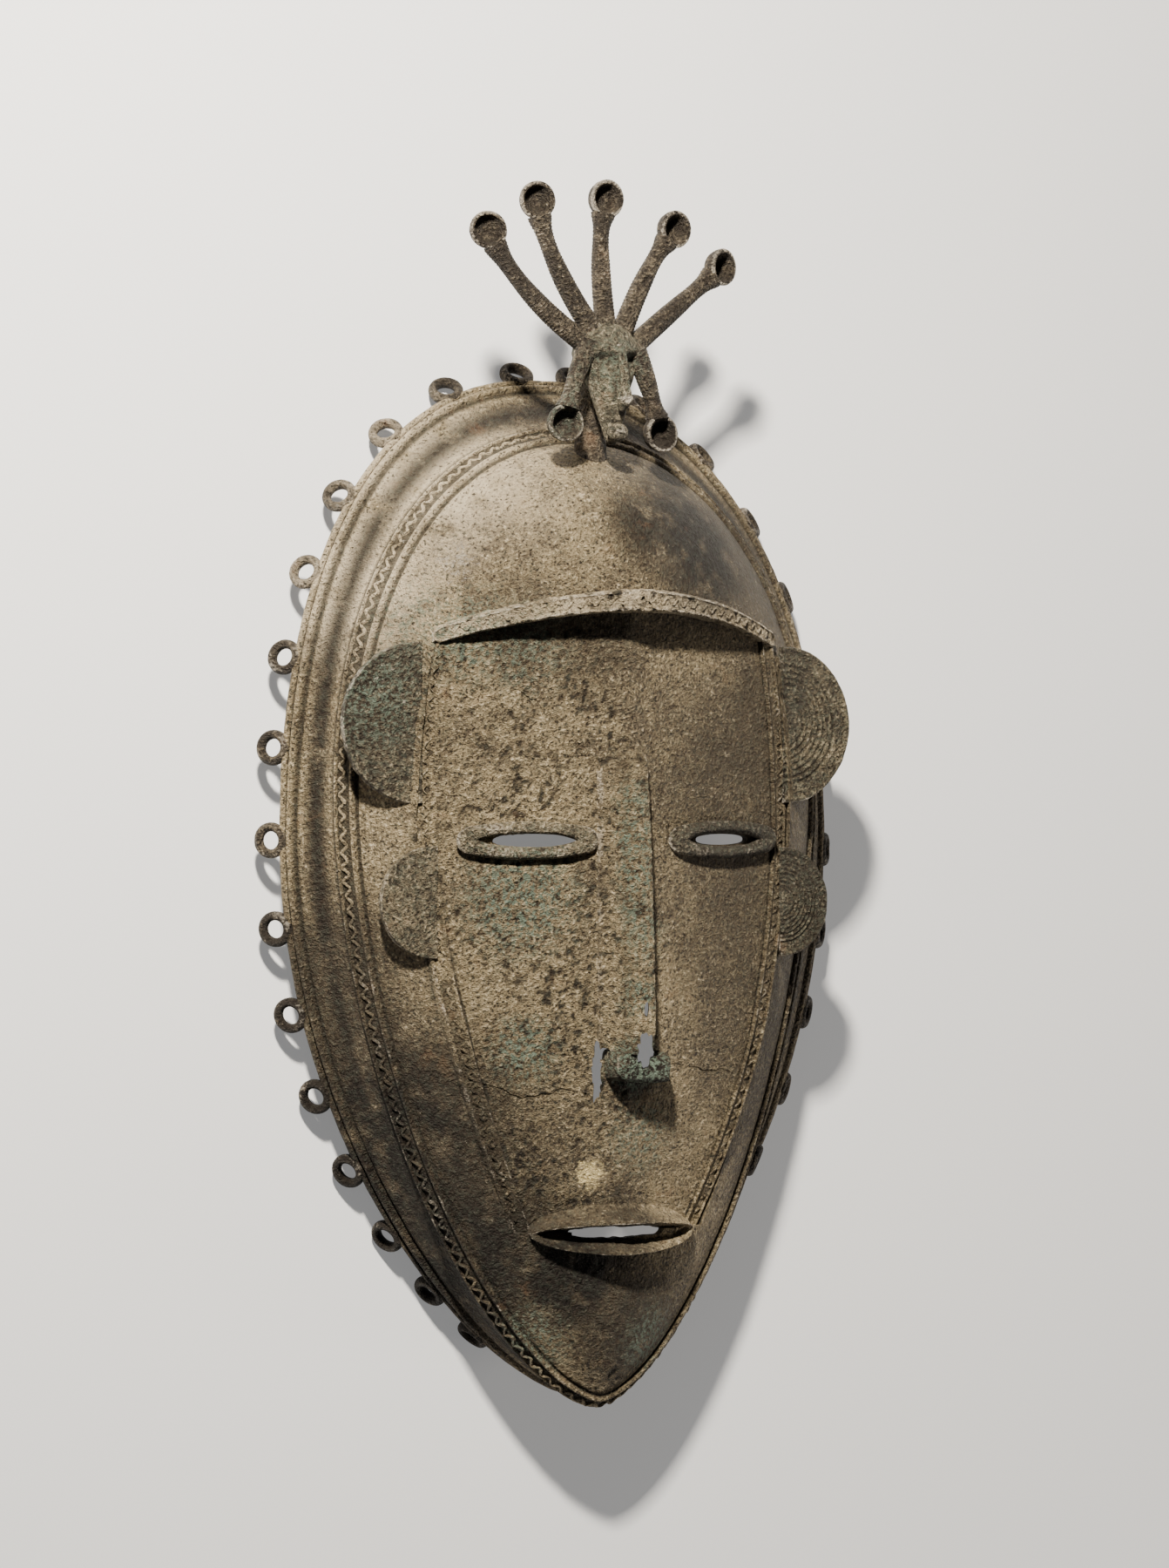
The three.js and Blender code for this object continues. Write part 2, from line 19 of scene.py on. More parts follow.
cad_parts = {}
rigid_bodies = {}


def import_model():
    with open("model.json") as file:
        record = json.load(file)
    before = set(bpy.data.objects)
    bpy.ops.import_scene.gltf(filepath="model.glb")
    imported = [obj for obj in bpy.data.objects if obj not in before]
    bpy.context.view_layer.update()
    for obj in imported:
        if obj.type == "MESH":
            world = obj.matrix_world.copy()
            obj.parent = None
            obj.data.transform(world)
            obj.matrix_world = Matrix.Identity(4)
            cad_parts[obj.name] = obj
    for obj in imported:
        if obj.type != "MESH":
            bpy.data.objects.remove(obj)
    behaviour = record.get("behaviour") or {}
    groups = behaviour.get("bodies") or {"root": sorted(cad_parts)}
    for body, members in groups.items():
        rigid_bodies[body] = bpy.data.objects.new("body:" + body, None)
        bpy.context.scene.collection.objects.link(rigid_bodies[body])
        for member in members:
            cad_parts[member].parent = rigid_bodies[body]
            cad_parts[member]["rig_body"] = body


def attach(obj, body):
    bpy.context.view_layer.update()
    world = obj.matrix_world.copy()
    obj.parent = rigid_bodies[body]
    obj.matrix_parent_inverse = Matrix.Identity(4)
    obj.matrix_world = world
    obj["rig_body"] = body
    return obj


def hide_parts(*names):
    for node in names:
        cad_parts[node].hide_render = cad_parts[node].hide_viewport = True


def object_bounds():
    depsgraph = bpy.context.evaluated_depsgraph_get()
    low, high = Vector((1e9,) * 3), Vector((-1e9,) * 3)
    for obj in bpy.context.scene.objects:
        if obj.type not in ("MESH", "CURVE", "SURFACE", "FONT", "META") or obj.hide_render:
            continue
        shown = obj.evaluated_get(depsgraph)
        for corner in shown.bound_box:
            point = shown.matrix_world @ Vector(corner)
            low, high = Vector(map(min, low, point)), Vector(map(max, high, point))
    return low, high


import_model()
CAD_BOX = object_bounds()
LOG = logging.getLogger("mask")
NODE = "mask"
MILLIMETRE = 0.001
Points = np.ndarray
Pair = tuple[float, float]
Triple = tuple[float, float, float]
Table = tuple[tuple[float, ...], ...]
Height = Callable[[Points, Points, Points], Points]
Material = bpy.types.Material
Piece = bpy.types.Object


# Arithmetic that the forms share


def bell(offset: Points, width: float) -> Points:
    """A smooth bump of height 1 where an offset is 0."""
    return np.exp(-((offset / width) ** 2))


def signed_power(values: Points, power: Points | float) -> Points:
    """A power of the size of some values, with their sign kept."""
    return np.sign(values) * np.abs(values) ** power


def circle(count: int) -> Points:
    """Angles evenly round a circle."""
    return np.linspace(0, 2 * math.pi, count, endpoint=False)


def lengths_along(places: Points) -> Points:
    """Length of a line of places from its start to each of them."""
    return np.concatenate([[0], np.cumsum(np.linalg.norm(np.diff(places, axis=0), axis=-1))])


def flat_noise(outline: Points, size: float, seed: int) -> Points:
    """A smooth noise over X and Y places."""
    return smooth_noise(np.column_stack([outline, 0 * outline[:, 0]]), size, seed)


def drawn_out(sections: Sequence[Sequence[float]], count: int) -> tuple[Points, ...]:
    """Sections listed from the top down, drawn out evenly.

    Args:
        sections: Y and the sizes of each section.
        count: How many sections to give.

    Returns:
        The Y and each size, from the bottom up.
    """
    known = np.array(sections)[::-1]
    y = np.linspace(known[0, 0], known[-1, 0], count)
    return (y, *(np.interp(y, known[:, 0], size) for size in known.T[1:]))


def smooth_noise(points: Points, size: float, seed: int = 7) -> Points:
    """A soft value noise between -1 and 1, the same on every run.

    Args:
        points: Places.
        size: Width of a bump in the same unit.
        seed: Number of the pattern.

    Returns:
        One value for each place.
    """
    table = np.random.default_rng(seed).uniform(-1, 1, 4096)
    scaled = points / size
    base = np.floor(scaled).astype(int)
    part = scaled - base
    part = part * part * (3 - 2 * part)
    total = np.zeros(points.shape[:-1])
    for corner in range(8):
        step = np.array([corner & 1, corner >> 1 & 1, corner >> 2 & 1])
        cell = (base + step) @ np.array([73856093, 19349663, 83492791])
        weight = np.where(step == 1, part, 1 - part).prod(-1)
        total += weight * table[cell % 4096]
    return total


# Place and form of the mask


@dataclass(frozen=True)
class Rest:
    """How the upright mask is laid down on its loops.

    Args:
        tilt: Turn about the X axis in degrees.
        shift: Move in millimetres after the turn.
    """

    tilt: float = 3.05226707845961
    shift: Triple = (0.00124, -20.144242, 11.253839)

    def matrix(self) -> Matrix:
        """The turn and the move in one matrix, in metres."""
        turn = Matrix.Rotation(math.radians(self.tilt), 4, "X")
        return Matrix.Translation(Vector(self.shift) * MILLIMETRE) @ turn

    def lay(self, points: Points) -> Points:
        """Lays points down.

        Args:
            points: Places on the upright mask in millimetres.

        Returns:
            The places on the lying mask in metres.
        """
        turn = np.array(self.matrix().to_3x3())
        return (points @ turn.T + np.array(self.shift)) * MILLIMETRE


REST = Rest()


@dataclass(frozen=True)
class Egg:
    """An egg-shaped loop with its point at the chin.

    Args:
        top_y: Its highest Y.
        chin_y: Its lowest Y.
        mid_y: The Y where it is widest.
        half_width: Half of its greatest width.
        top_power: How square its upper half is.
        fall: How late its lower half draws in.
        point: How sharp the chin is.
    """

    top_y: float
    chin_y: float
    mid_y: float
    half_width: float
    top_power: float
    fall: float
    point: float

    def place(self, angle: Points) -> tuple[Points, Points]:
        """Places on the loop.

        Args:
            angle: Angles from the top, growing towards +X.

        Returns:
            The X and the Y of each place.
        """
        s, c = np.sin(angle), np.cos(angle)
        width = np.sign(s) * self.half_width
        low, high = np.clip(-c, 0, 1), np.clip(c, 0, 1)
        power = 2 / self.top_power
        x = np.where(c < 0, (1 - low**self.fall) ** self.point, np.abs(s) ** power) * width
        y = np.where(c < 0, (self.mid_y - self.chin_y) * c, (self.top_y - self.mid_y) * high**power)
        return x, self.mid_y + y


@dataclass(frozen=True)
class MaskForm:
    """The surfaces that the shell, the face and all that stands on them share.

    Args:
        wall: Thickness of the casting.
        rim: Outline of the rim.
        band: Outline of the zigzag band.
        rim_heights: Height of the rim at the top, the sides and the chin.
        band_heights: Height of the band at the same places.
        spine_y: Ends of the line that the dome rises to.
        spine_z: Heights of those ends.
        dome: How the dome rises from the band to that line.
        broken_below_y: Below it the rim's right side has lost its cords.
        ridge_height: Height of the face along its middle.
        slope: Fall of the face to each side.
        bow: How much more it falls farther out.
        face_half: Half width of the face where it is widest.
        face_mid_y: The Y of that place.
        face_taper: Factor and power of its drawing in above and below.
        face_low_y: Lower edge of the face.
        under_brow: How far the face reaches under the brow.
        chin_fall: Fall of the face towards the chin.
        chin_from_y: Where that fall starts.
        chin_span: Length over which the face falls so far.
        brow_y: Lower edge of the brow in the middle.
        brow_fall: How much lower the brow's ends are.
        brow_reach: Distance of the brow's ends from the middle.
    """

    wall: float = 2.8
    rim: Egg = Egg(140, -147, 10, 87, 2.15, 2, 0.72)
    band: Egg = Egg(123.5, -150, 20, 75, 2.08, 1.7, 0.64)
    rim_heights: Triple = (-13, 0, 4)
    band_heights: Triple = (7, 15, 24)
    spine_y: Pair = (-105, 70)
    spine_z: Pair = (36, 52)
    dome: Pair = (2.4, 1.15)
    broken_below_y: float = -80
    ridge_height: float = 44.5
    slope: float = 0.16
    bow: float = 0.0022
    face_half: float = 59
    face_mid_y: float = 22
    face_taper: Pair = (0.00277, 1.93)
    face_low_y: float = -100
    under_brow: float = 2.6
    chin_fall: float = 9.4
    chin_from_y: float = -40
    chin_span: float = 58.5
    brow_y: float = 72
    brow_fall: float = 10
    brow_reach: float = 54

    def rim_at(self, angle: Points) -> Points:
        """Places on the rim for some angles.

        Args:
            angle: Angles from the top, growing towards +X.

        Returns:
            The places, in the shape of the angles with X, Y and Z.
        """
        x, y = self.rim.place(angle)
        top, side, chin = self.rim_heights
        high = y > self.rim.mid_y
        end = np.where(high, self.rim.top_y, self.rim.chin_y)
        share = ((y - self.rim.mid_y) / (end - self.rim.mid_y)) ** 2
        return np.stack([x, y, side + (np.where(high, top, chin) - side) * share], -1)

    def band_at(self, angle: Points) -> Points:
        """Places on the middle of the zigzag band for some angles.

        Args:
            angle: Angles from the top, growing towards +X.

        Returns:
            The places.
        """
        x, y = self.band.place(angle)
        top, side, chin = self.band_heights
        end = np.where(y > 0, self.band.top_y, self.band.chin_y)
        return np.stack([x, y, side + (np.where(y > 0, top, chin) - side) * (y / end) ** 2], -1)

    def spine_at(self, angle: Points) -> Points:
        """Places on the line that the dome rises to.

        Args:
            angle: Angles from the top, growing towards +X.

        Returns:
            The places.
        """
        y = self.band.place(angle)[1]
        share = (y - self.band.chin_y) / (self.band.top_y - self.band.chin_y)
        along, height = (np.interp(share, (0, 1), ends) for ends in (self.spine_y, self.spine_z))
        return np.stack([0 * y, along, height], -1)

    def shell(self, angle: Points, station: Points) -> Points:
        """Places on the shell.

        Args:
            angle: Angles round the shell.
            station: 0 at the rim, 1 at the band and 2 at the spine.

        Returns:
            The places, in the shape of the two arguments together.
        """
        angle, station = np.broadcast_arrays(np.asarray(angle, float), np.asarray(station, float))
        rim, band, spine = self.rim_at(angle), self.band_at(angle), self.spine_at(angle)
        out = np.clip(station, -1, 1)[..., None]
        flange = rim + (band - rim) * out
        near = np.clip(2 - station, 0, 1)
        rise = (1 - near ** self.dome[0]) ** (1 / self.dome[1])
        dome = spine + (band - spine) * near[..., None]
        dome[..., 2] = band[..., 2] + (spine[..., 2] - band[..., 2]) * rise
        return np.where(out >= 1, dome, flange)

    def normal(self, angle: Points, station: Points) -> Points:
        """Outward directions of the shell at some places.

        Args:
            angle: Angles round the shell.
            station: 0 at the rim, 1 at the band and 2 at the spine.

        Returns:
            A unit vector for each place.
        """
        along = self.shell(angle + 0.01, station) - self.shell(angle - 0.01, station)
        inward = self.shell(angle, station + 0.02) - self.shell(angle, station - 0.02)
        out = np.cross(inward, along)
        return out / np.maximum(np.linalg.norm(out, axis=-1, keepdims=True), 1e-9)

    def lifted(self, angle: Points, station: Points, lift: Points) -> Points:
        """Places at a height over the shell."""
        return self.shell(angle, station) + self.normal(angle, station) * np.asarray(lift)[..., None]

    def flange_length(self, angle: Points) -> Points:
        """Width of the flange in millimetres."""
        return np.linalg.norm(self.rim_at(angle) - self.band_at(angle), axis=-1)

    def dome_length(self, angle: Points) -> Points:
        """Straight distance from the band to the spine in millimetres."""
        return np.linalg.norm(self.band_at(angle) - self.spine_at(angle), axis=-1)

    def even_angles(self, count: int) -> Points:
        """Angles that lie evenly along the rim, once round.

        Args:
            count: How many angles to give.

        Returns:
            The angles, from the top towards +X.
        """
        fine = np.linspace(1e-5, 2 * math.pi - 1e-5, 7201)
        length = lengths_along(self.rim_at(fine) * 0.5 + self.band_at(fine) * 0.5)
        return np.interp(np.arange(count) * length[-1] / count, length, fine)

    def mirrored_angles(self, count: int) -> Points:
        """Even angles once round, the same on both sides of the middle."""
        half = self.even_angles(count)[: count // 2 + 1]
        half[0], half[-1] = 0, math.pi
        return np.concatenate([half, 2 * math.pi - half[-2:0:-1]])

    def face_edge(self, y: Points) -> Points:
        """Half width of the face panel."""
        factor, power = self.face_taper
        return self.face_half - factor * np.abs(y - self.face_mid_y) ** power

    def face_height(self, x: Points, y: Points) -> Points:
        """Height of the bowed face panel."""
        away = np.abs(x)
        fall = np.maximum(0, (self.chin_from_y - y) / self.chin_span) ** 1.5
        return self.ridge_height - self.slope * away - self.bow * away**2 - self.chin_fall * fall

    def brow_line(self, x: Points) -> Points:
        """Lower edge of the brow."""
        return self.brow_y - self.brow_fall * (x / self.brow_reach) ** 2

    def dome_height(self, x: Points, y: Points) -> Points:
        """Height of the dome over some places.

        Args:
            x: Distances from the middle line.
            y: Distances towards the crest.

        Returns:
            The heights.
        """
        aside = np.maximum(np.abs(x), 0.01)
        low, high = np.full(aside.shape, 1e-6), np.full(aside.shape, math.pi - 1e-6)
        for _ in range(40):
            middle = (low + high) / 2
            band, spine = self.band_at(middle), self.spine_at(middle)
            near = np.minimum(aside / band[..., 0], 1)
            above = spine[..., 1] + (band[..., 1] - spine[..., 1]) * near > y
            low, high = np.where(above, middle, low), np.where(above, high, middle)
        near = np.minimum(aside / self.band_at(low)[..., 0], 1)
        return self.shell(low, 2 - near)[..., 2]


FORM = MaskForm()


# Node trees and their arithmetic


class Wire:
    """A value in a node tree, whose arithmetic adds Math nodes."""

    def __init__(self, graph: "Graph", socket: bpy.types.NodeSocket) -> None:
        """Holds an output socket of a graph."""
        self.graph, self.socket = graph, socket

    def math(self, operation: str, *values: "Wire | float") -> "Wire":
        """The result of a Math node on all the values it is given, in order."""
        return self.graph.node("ShaderNodeMath", {"operation": operation}, dict(enumerate(values)))

    def __add__(self, other: "Wire | float") -> "Wire":
        """Sum."""
        return self.math("ADD", self, other)

    __radd__ = __add__

    def __sub__(self, other: "Wire | float") -> "Wire":
        """Difference."""
        return self.math("SUBTRACT", self, other)

    def __rsub__(self, other: float) -> "Wire":
        """Difference from a number."""
        return self.math("SUBTRACT", other, self)

    def __mul__(self, other: "Wire | float") -> "Wire":
        """Product."""
        return self.math("MULTIPLY", self, other)

    __rmul__ = __mul__

    def __truediv__(self, other: "Wire | float") -> "Wire":
        """Quotient."""
        return self.math("DIVIDE", self, other)

    def between(self, low: float, high: float) -> "Wire":
        """A soft step from 0 at low to 1 at high, or down where low is the greater."""
        values = {"Value": self, "From Min": low, "From Max": high}
        return self.graph.node("ShaderNodeMapRange", {"interpolation_type": "SMOOTHSTEP"}, values)

    def either(self, other: "Wire | float") -> "Wire":
        """The greater of two values."""
        return self.math("MAXIMUM", self, other)


class Graph:
    """Adds nodes to a tree."""

    def __init__(self, tree: bpy.types.NodeTree) -> None:
        """Holds the tree."""
        self.tree = tree

    def node(
        self, kind: str, settings: dict | None = None, values: dict | None = None, out: int | str = 0
    ) -> Wire:
        """Adds one node.

        Args:
            kind: The node's type.
            settings: Its properties, set before its sockets.
            values: Numbers or wires by the name or the place of their input.
            out: The output to give back.

        Returns:
            The chosen output.
        """
        node = self.tree.nodes.new(kind)
        for name, value in (settings or {}).items():
            setattr(node, name, value)
        for key, value in (values or {}).items():
            if isinstance(value, Wire):
                self.tree.links.new(value.socket, node.inputs[key])
            else:
                node.inputs[key].default_value = value
        return Wire(self, node.outputs[out]) if node.outputs else Wire(self, None)

    def vector(self, operation: str, *values: Wire | Sequence[float], **extra: Wire | float) -> Wire:
        """Adds a Vector Math node.

        Args:
            operation: Name of the operation.
            values: Its vectors, in order.
            extra: Its other inputs by name.

        Returns:
            The vector, or the number for a length or a distance.
        """
        out = "Value" if operation in ("LENGTH", "DISTANCE", "DOT_PRODUCT") else "Vector"
        values = {**dict(enumerate(values)), **extra}
        return self.node("ShaderNodeVectorMath", {"operation": operation}, values, out)

    def noise(self, place: Wire, scale: float, detail: float = 3, rough: float = 0.55) -> Wire:
        """A noise between 0 and 1 over some places."""
        values = {"Vector": place, "Scale": scale, "Detail": detail, "Roughness": rough}
        return self.node("ShaderNodeTexNoise", {"noise_dimensions": "3D"}, values)


class Recipe(Graph):
    """A Geometry Nodes tree with named inputs, whose result takes one finish."""

    def __init__(self, name: str, **sizes: float) -> None:
        """Makes the tree and an input for each size.

        Args:
            name: The tree's name.
            sizes: Its inputs with their values.
        """
        super().__init__(bpy.data.node_groups.new(name, "GeometryNodeTree"))
        interface = self.tree.interface
        interface.new_socket("Geometry", in_out="INPUT", socket_type="NodeSocketGeometry")
        interface.new_socket("Geometry", in_out="OUTPUT", socket_type="NodeSocketGeometry")
        self.sizes = sizes
        self.keys = {}
        for size in sizes:
            socket = interface.new_socket(size, in_out="INPUT", socket_type="NodeSocketFloat")
            self.keys[size] = socket.identifier
        self.entry = self.tree.nodes.new("NodeGroupInput")
        self.start = Wire(self, self.entry.outputs[0])

    def given(self, name: str) -> Wire:
        """The wire of one named input."""
        return Wire(self, self.entry.outputs[name])

    def attribute(self, name: str, kind: str = "FLOAT_VECTOR") -> Wire:
        """The wire of a stored attribute."""
        return self.node("GeometryNodeInputNamedAttribute", {"data_type": kind}, {"Name": name})

    def resampled(self, line: Wire, length: Wire | float) -> Wire:
        """A curve with its points a length apart."""
        values = {"Curve": line, "Length": length}
        return self.node("GeometryNodeResampleCurve", {"mode": "LENGTH"}, values)

    def ring(self, sides: int, radius: Wire | float) -> Wire:
        """A circle as a curve."""
        return self.node("GeometryNodeCurvePrimitiveCircle", None, {"Resolution": sides, "Radius": radius})

    def swept(self, line: Wire, ring: Wire, size: Wire) -> Wire:
        """A closed tube along a curve, with a size at each point."""
        values = {"Curve": line, "Profile Curve": ring, "Scale": size, "Fill Caps": True}
        return self.node("GeometryNodeCurveToMesh", None, values)

    def close(self, result: Wire, finish: Material) -> None:
        """Ends the tree in Realize Instances and Set Material.

        Args:
            result: The geometry that the tree makes.
            finish: The material of the result.
        """
        real = self.node("GeometryNodeRealizeInstances", None, {"Geometry": result})
        dressed = self.node("GeometryNodeSetMaterial", None, {"Geometry": real, "Material": finish})
        self.node("NodeGroupOutput", None, {0: dressed})

    def grow(self, seed: Piece) -> Piece:
        """Runs the tree on an object and keeps the result as a plain mesh.

        Args:
            seed: The object that the tree starts from. It is removed.

        Returns:
            The new object.
        """
        modifier = seed.modifiers.new(self.tree.name, "NODES")
        modifier.node_group = self.tree
        for size, key in self.keys.items():
            modifier[key] = self.sizes[size]
        return baked(seed)


# Meshes


def linked(name: str, mesh: bpy.types.Mesh) -> Piece:
    """A new object in the scene that shows a mesh."""
    made = bpy.data.objects.new(name, mesh)
    bpy.context.scene.collection.objects.link(made)
    return made


def baked(source: Piece) -> Piece:
    """An object with its modifiers worked into a plain mesh.

    Args:
        source: The object with modifiers. It is removed.

    Returns:
        The new object under the same name.
    """
    name, old = source.name, source.data
    evaluated = source.evaluated_get(bpy.context.evaluated_depsgraph_get())
    mesh = bpy.data.meshes.new_from_object(evaluated)
    source.modifiers.clear()
    bpy.data.objects.remove(source)
    bpy.data.meshes.remove(old)
    mesh.name = name
    return linked(name, mesh)


def volume_of(mesh: bpy.types.Mesh) -> float:
    """Volume inside a closed mesh, negative where its faces point in.

    Args:
        mesh: The mesh.

    Returns:
        The volume in the cube of its unit.
    """
    mesh.calc_loop_triangles()
    points, corners = coordinates(mesh), np.zeros(len(mesh.loop_triangles) * 3, np.int32)
    mesh.loop_triangles.foreach_get("vertices", corners)
    a, b, c = (points[corners.reshape(-1, 3)[:, k]] for k in range(3))
    return float(np.einsum("ij,ij->", a, np.cross(b, c)) / 6)


def coordinates(mesh: bpy.types.Mesh) -> Points:
    """The vertices of a mesh as an array."""
    flat = np.zeros(len(mesh.vertices) * 3)
    mesh.vertices.foreach_get("co", flat)
    return flat.reshape(-1, 3)


def joined(name: str, points: Points, faces: list[tuple[int, ...]]) -> Piece:
    """A closed object whose faces point out and whose doubled points are merged.

    Args:
        name: The object's name.
        points: Its corners in millimetres.
        faces: The corners of each face.

    Returns:
        The new object.
    """
    mesh = bpy.data.meshes.new(name)
    mesh.from_pydata([tuple(p) for p in points], [], faces)
    form = bmesh.new()
    form.from_mesh(mesh)
    bmesh.ops.remove_doubles(form, verts=form.verts, dist=1e-4)
    bmesh.ops.dissolve_degenerate(form, edges=form.edges, dist=1e-5)
    form.to_mesh(mesh)
    form.free()
    if volume_of(mesh) < 0:
        mesh.flip_normals()
    return linked(name, mesh)


class Ends(Enum):
    """How the first and last ring of a skin close."""

    CAPS = "caps"
    LOOP = "loop"
    FOLD = "fold"


def skin(name: str, rings: Points, ends: Ends = Ends.CAPS) -> Piece:
    """A closed skin through rings of points.

    Args:
        name: The object's name.
        rings: Places in the shape (ring, point, 3).
        ends: How the skin closes.

    Returns:
        The new object.
    """
    count, around = rings.shape[:2]
    points = [tuple(p) for p in rings.reshape(-1, 3)]
    faces = []
    for r in range(count if ends is Ends.LOOP else count - 1):
        low, high = r * around, (r + 1) % count * around
        pairs = [(i, (i + 1) % around) for i in range(around)]
        faces += [(low + i, low + j, high + j, high + i) for i, j in pairs]
    if ends is Ends.CAPS:
        for start, turned in ((0, True), ((count - 1) * around, False)):
            points.append(tuple(rings.reshape(-1, 3)[start : start + around].mean(0)))
            for i in range(around):
                pair = (start + i, start + (i + 1) % around)
                faces.append((len(points) - 1, *(pair[::-1] if turned else pair)))
    return joined(name, np.array(points), faces)


def slab(name: str, upper: Points, lower: Points) -> Piece:
    """A closed slab between two grids of the same shape.

    Args:
        name: The object's name.
        upper: Places of the upper side in the shape (row, column, 3).
        lower: Places of the lower side.

    Returns:
        The new object.
    """
    rows, columns = upper.shape[:2]
    size = rows * columns
    faces = []
    for r in range(rows - 1):
        for c in range(columns - 1):
            a, b = r * columns + c, (r + 1) * columns + c
            faces += [(a, a + 1, b + 1, b), (size + a, size + b, size + b + 1, size + a + 1)]
    border = [*range(columns), *(r * columns + columns - 1 for r in range(1, rows))]
    border += [*range(size - 2, size - columns - 1, -1), *(r * columns for r in range(rows - 2, 0, -1))]
    for a, b in zip(border, border[1:] + border[:1]):
        faces.append((b, a, size + a, size + b))
    return joined(name, np.concatenate([upper.reshape(-1, 3), lower.reshape(-1, 3)]), faces)


def tube_rings(path: Points, halves: Points, sides: int, closed: bool = False) -> Points:
    """Elliptical rings along a path, whose upper side faces up.

    Args:
        path: Places along the path.
        halves: Half size aside and half size up for each place.
        sides: Points in a ring.
        closed: Whether the path returns to its start.

    Returns:
        The rings in the shape (place, side, 3).
    """
    if closed:
        along = np.roll(path, -1, 0) - np.roll(path, 1, 0)
    else:
        along = np.gradient(path, axis=0)
    along = along / np.linalg.norm(along, axis=-1, keepdims=True)
    across = np.cross(along, np.array((0.0, 0.0, 1.0)))
    across /= np.linalg.norm(across, axis=-1, keepdims=True)
    lift = np.cross(across, along)
    turn = circle(sides)
    halves = np.broadcast_to(np.asarray(halves, float), (len(path), 2))
    aside = across[:, None] * (halves[:, :1] * np.cos(turn))[..., None]
    return path[:, None] + aside + lift[:, None] * (halves[:, 1:] * np.sin(turn))[..., None]


def lathed(profile: Sequence[Pair], turn: Points, wobble: Points | float = 1.0) -> Points:
    """Rings of a turned shape.

    Args:
        profile: The radius and the height of each ring.
        turn: Angles of a ring's points.
        wobble: Share of the radius at each angle.

    Returns:
        The rings in the shape (ring, point, 3).
    """
    rings = [(r * wobble * np.cos(turn), r * wobble * np.sin(turn), 0 * turn + h) for r, h in profile]
    return np.array([np.column_stack(ring) for ring in rings])


def store(mesh: bpy.types.Mesh, name: str, values: Points) -> None:
    """Stores one vector or number for each vertex of a mesh."""
    kind, field_name = ("FLOAT_VECTOR", "vector") if np.ndim(values) > 1 else ("FLOAT", "value")
    made = mesh.attributes.get(name) or mesh.attributes.new(name, kind, "POINT")
    made.data.foreach_set(field_name, np.ascontiguousarray(values, np.float32).ravel())


def traced(name: str, places: Points, edges: Sequence[tuple[int, int]] = (), **kept: Points) -> Piece:
    """An object of bare points and edges that a node tree starts from.

    Args:
        name: The object's name.
        places: Its points in millimetres.
        edges: The ends of each edge.
        kept: Values to store for each point, by name.

    Returns:
        The new object.
    """
    mesh = bpy.data.meshes.new(name)
    mesh.from_pydata([tuple(p) for p in places], list(edges), [])
    for key, values in kept.items():
        store(mesh, key, values)
    return linked(name, mesh)


class Cut(Enum):
    """What a boolean does with its tool."""

    AWAY = "DIFFERENCE"
    WITH = "UNION"
    KEEP = "INTERSECT"


def cut(body: Piece, tools: Sequence[Piece], how: Cut = Cut.AWAY) -> Piece:
    """Cuts a closed body with closed tools, or joins them.

    Args:
        body: The body. It is removed.
        tools: The tools. They stay.
        how: What the tools do.

    Returns:
        The new body.
    """
    for tool in tools:
        modifier = body.modifiers.new(tool.name, "BOOLEAN")
        modifier.operation, modifier.solver, modifier.object = how.value, "MANIFOLD", tool
    return baked(body)


# Pieces of the casting


def rounded(offset: Points, half: float, height: float) -> Points:
    """Height of a half-round cord at some distances from its middle."""
    return height * np.sqrt(np.clip(1 - (offset / half) ** 2, 0, 1))


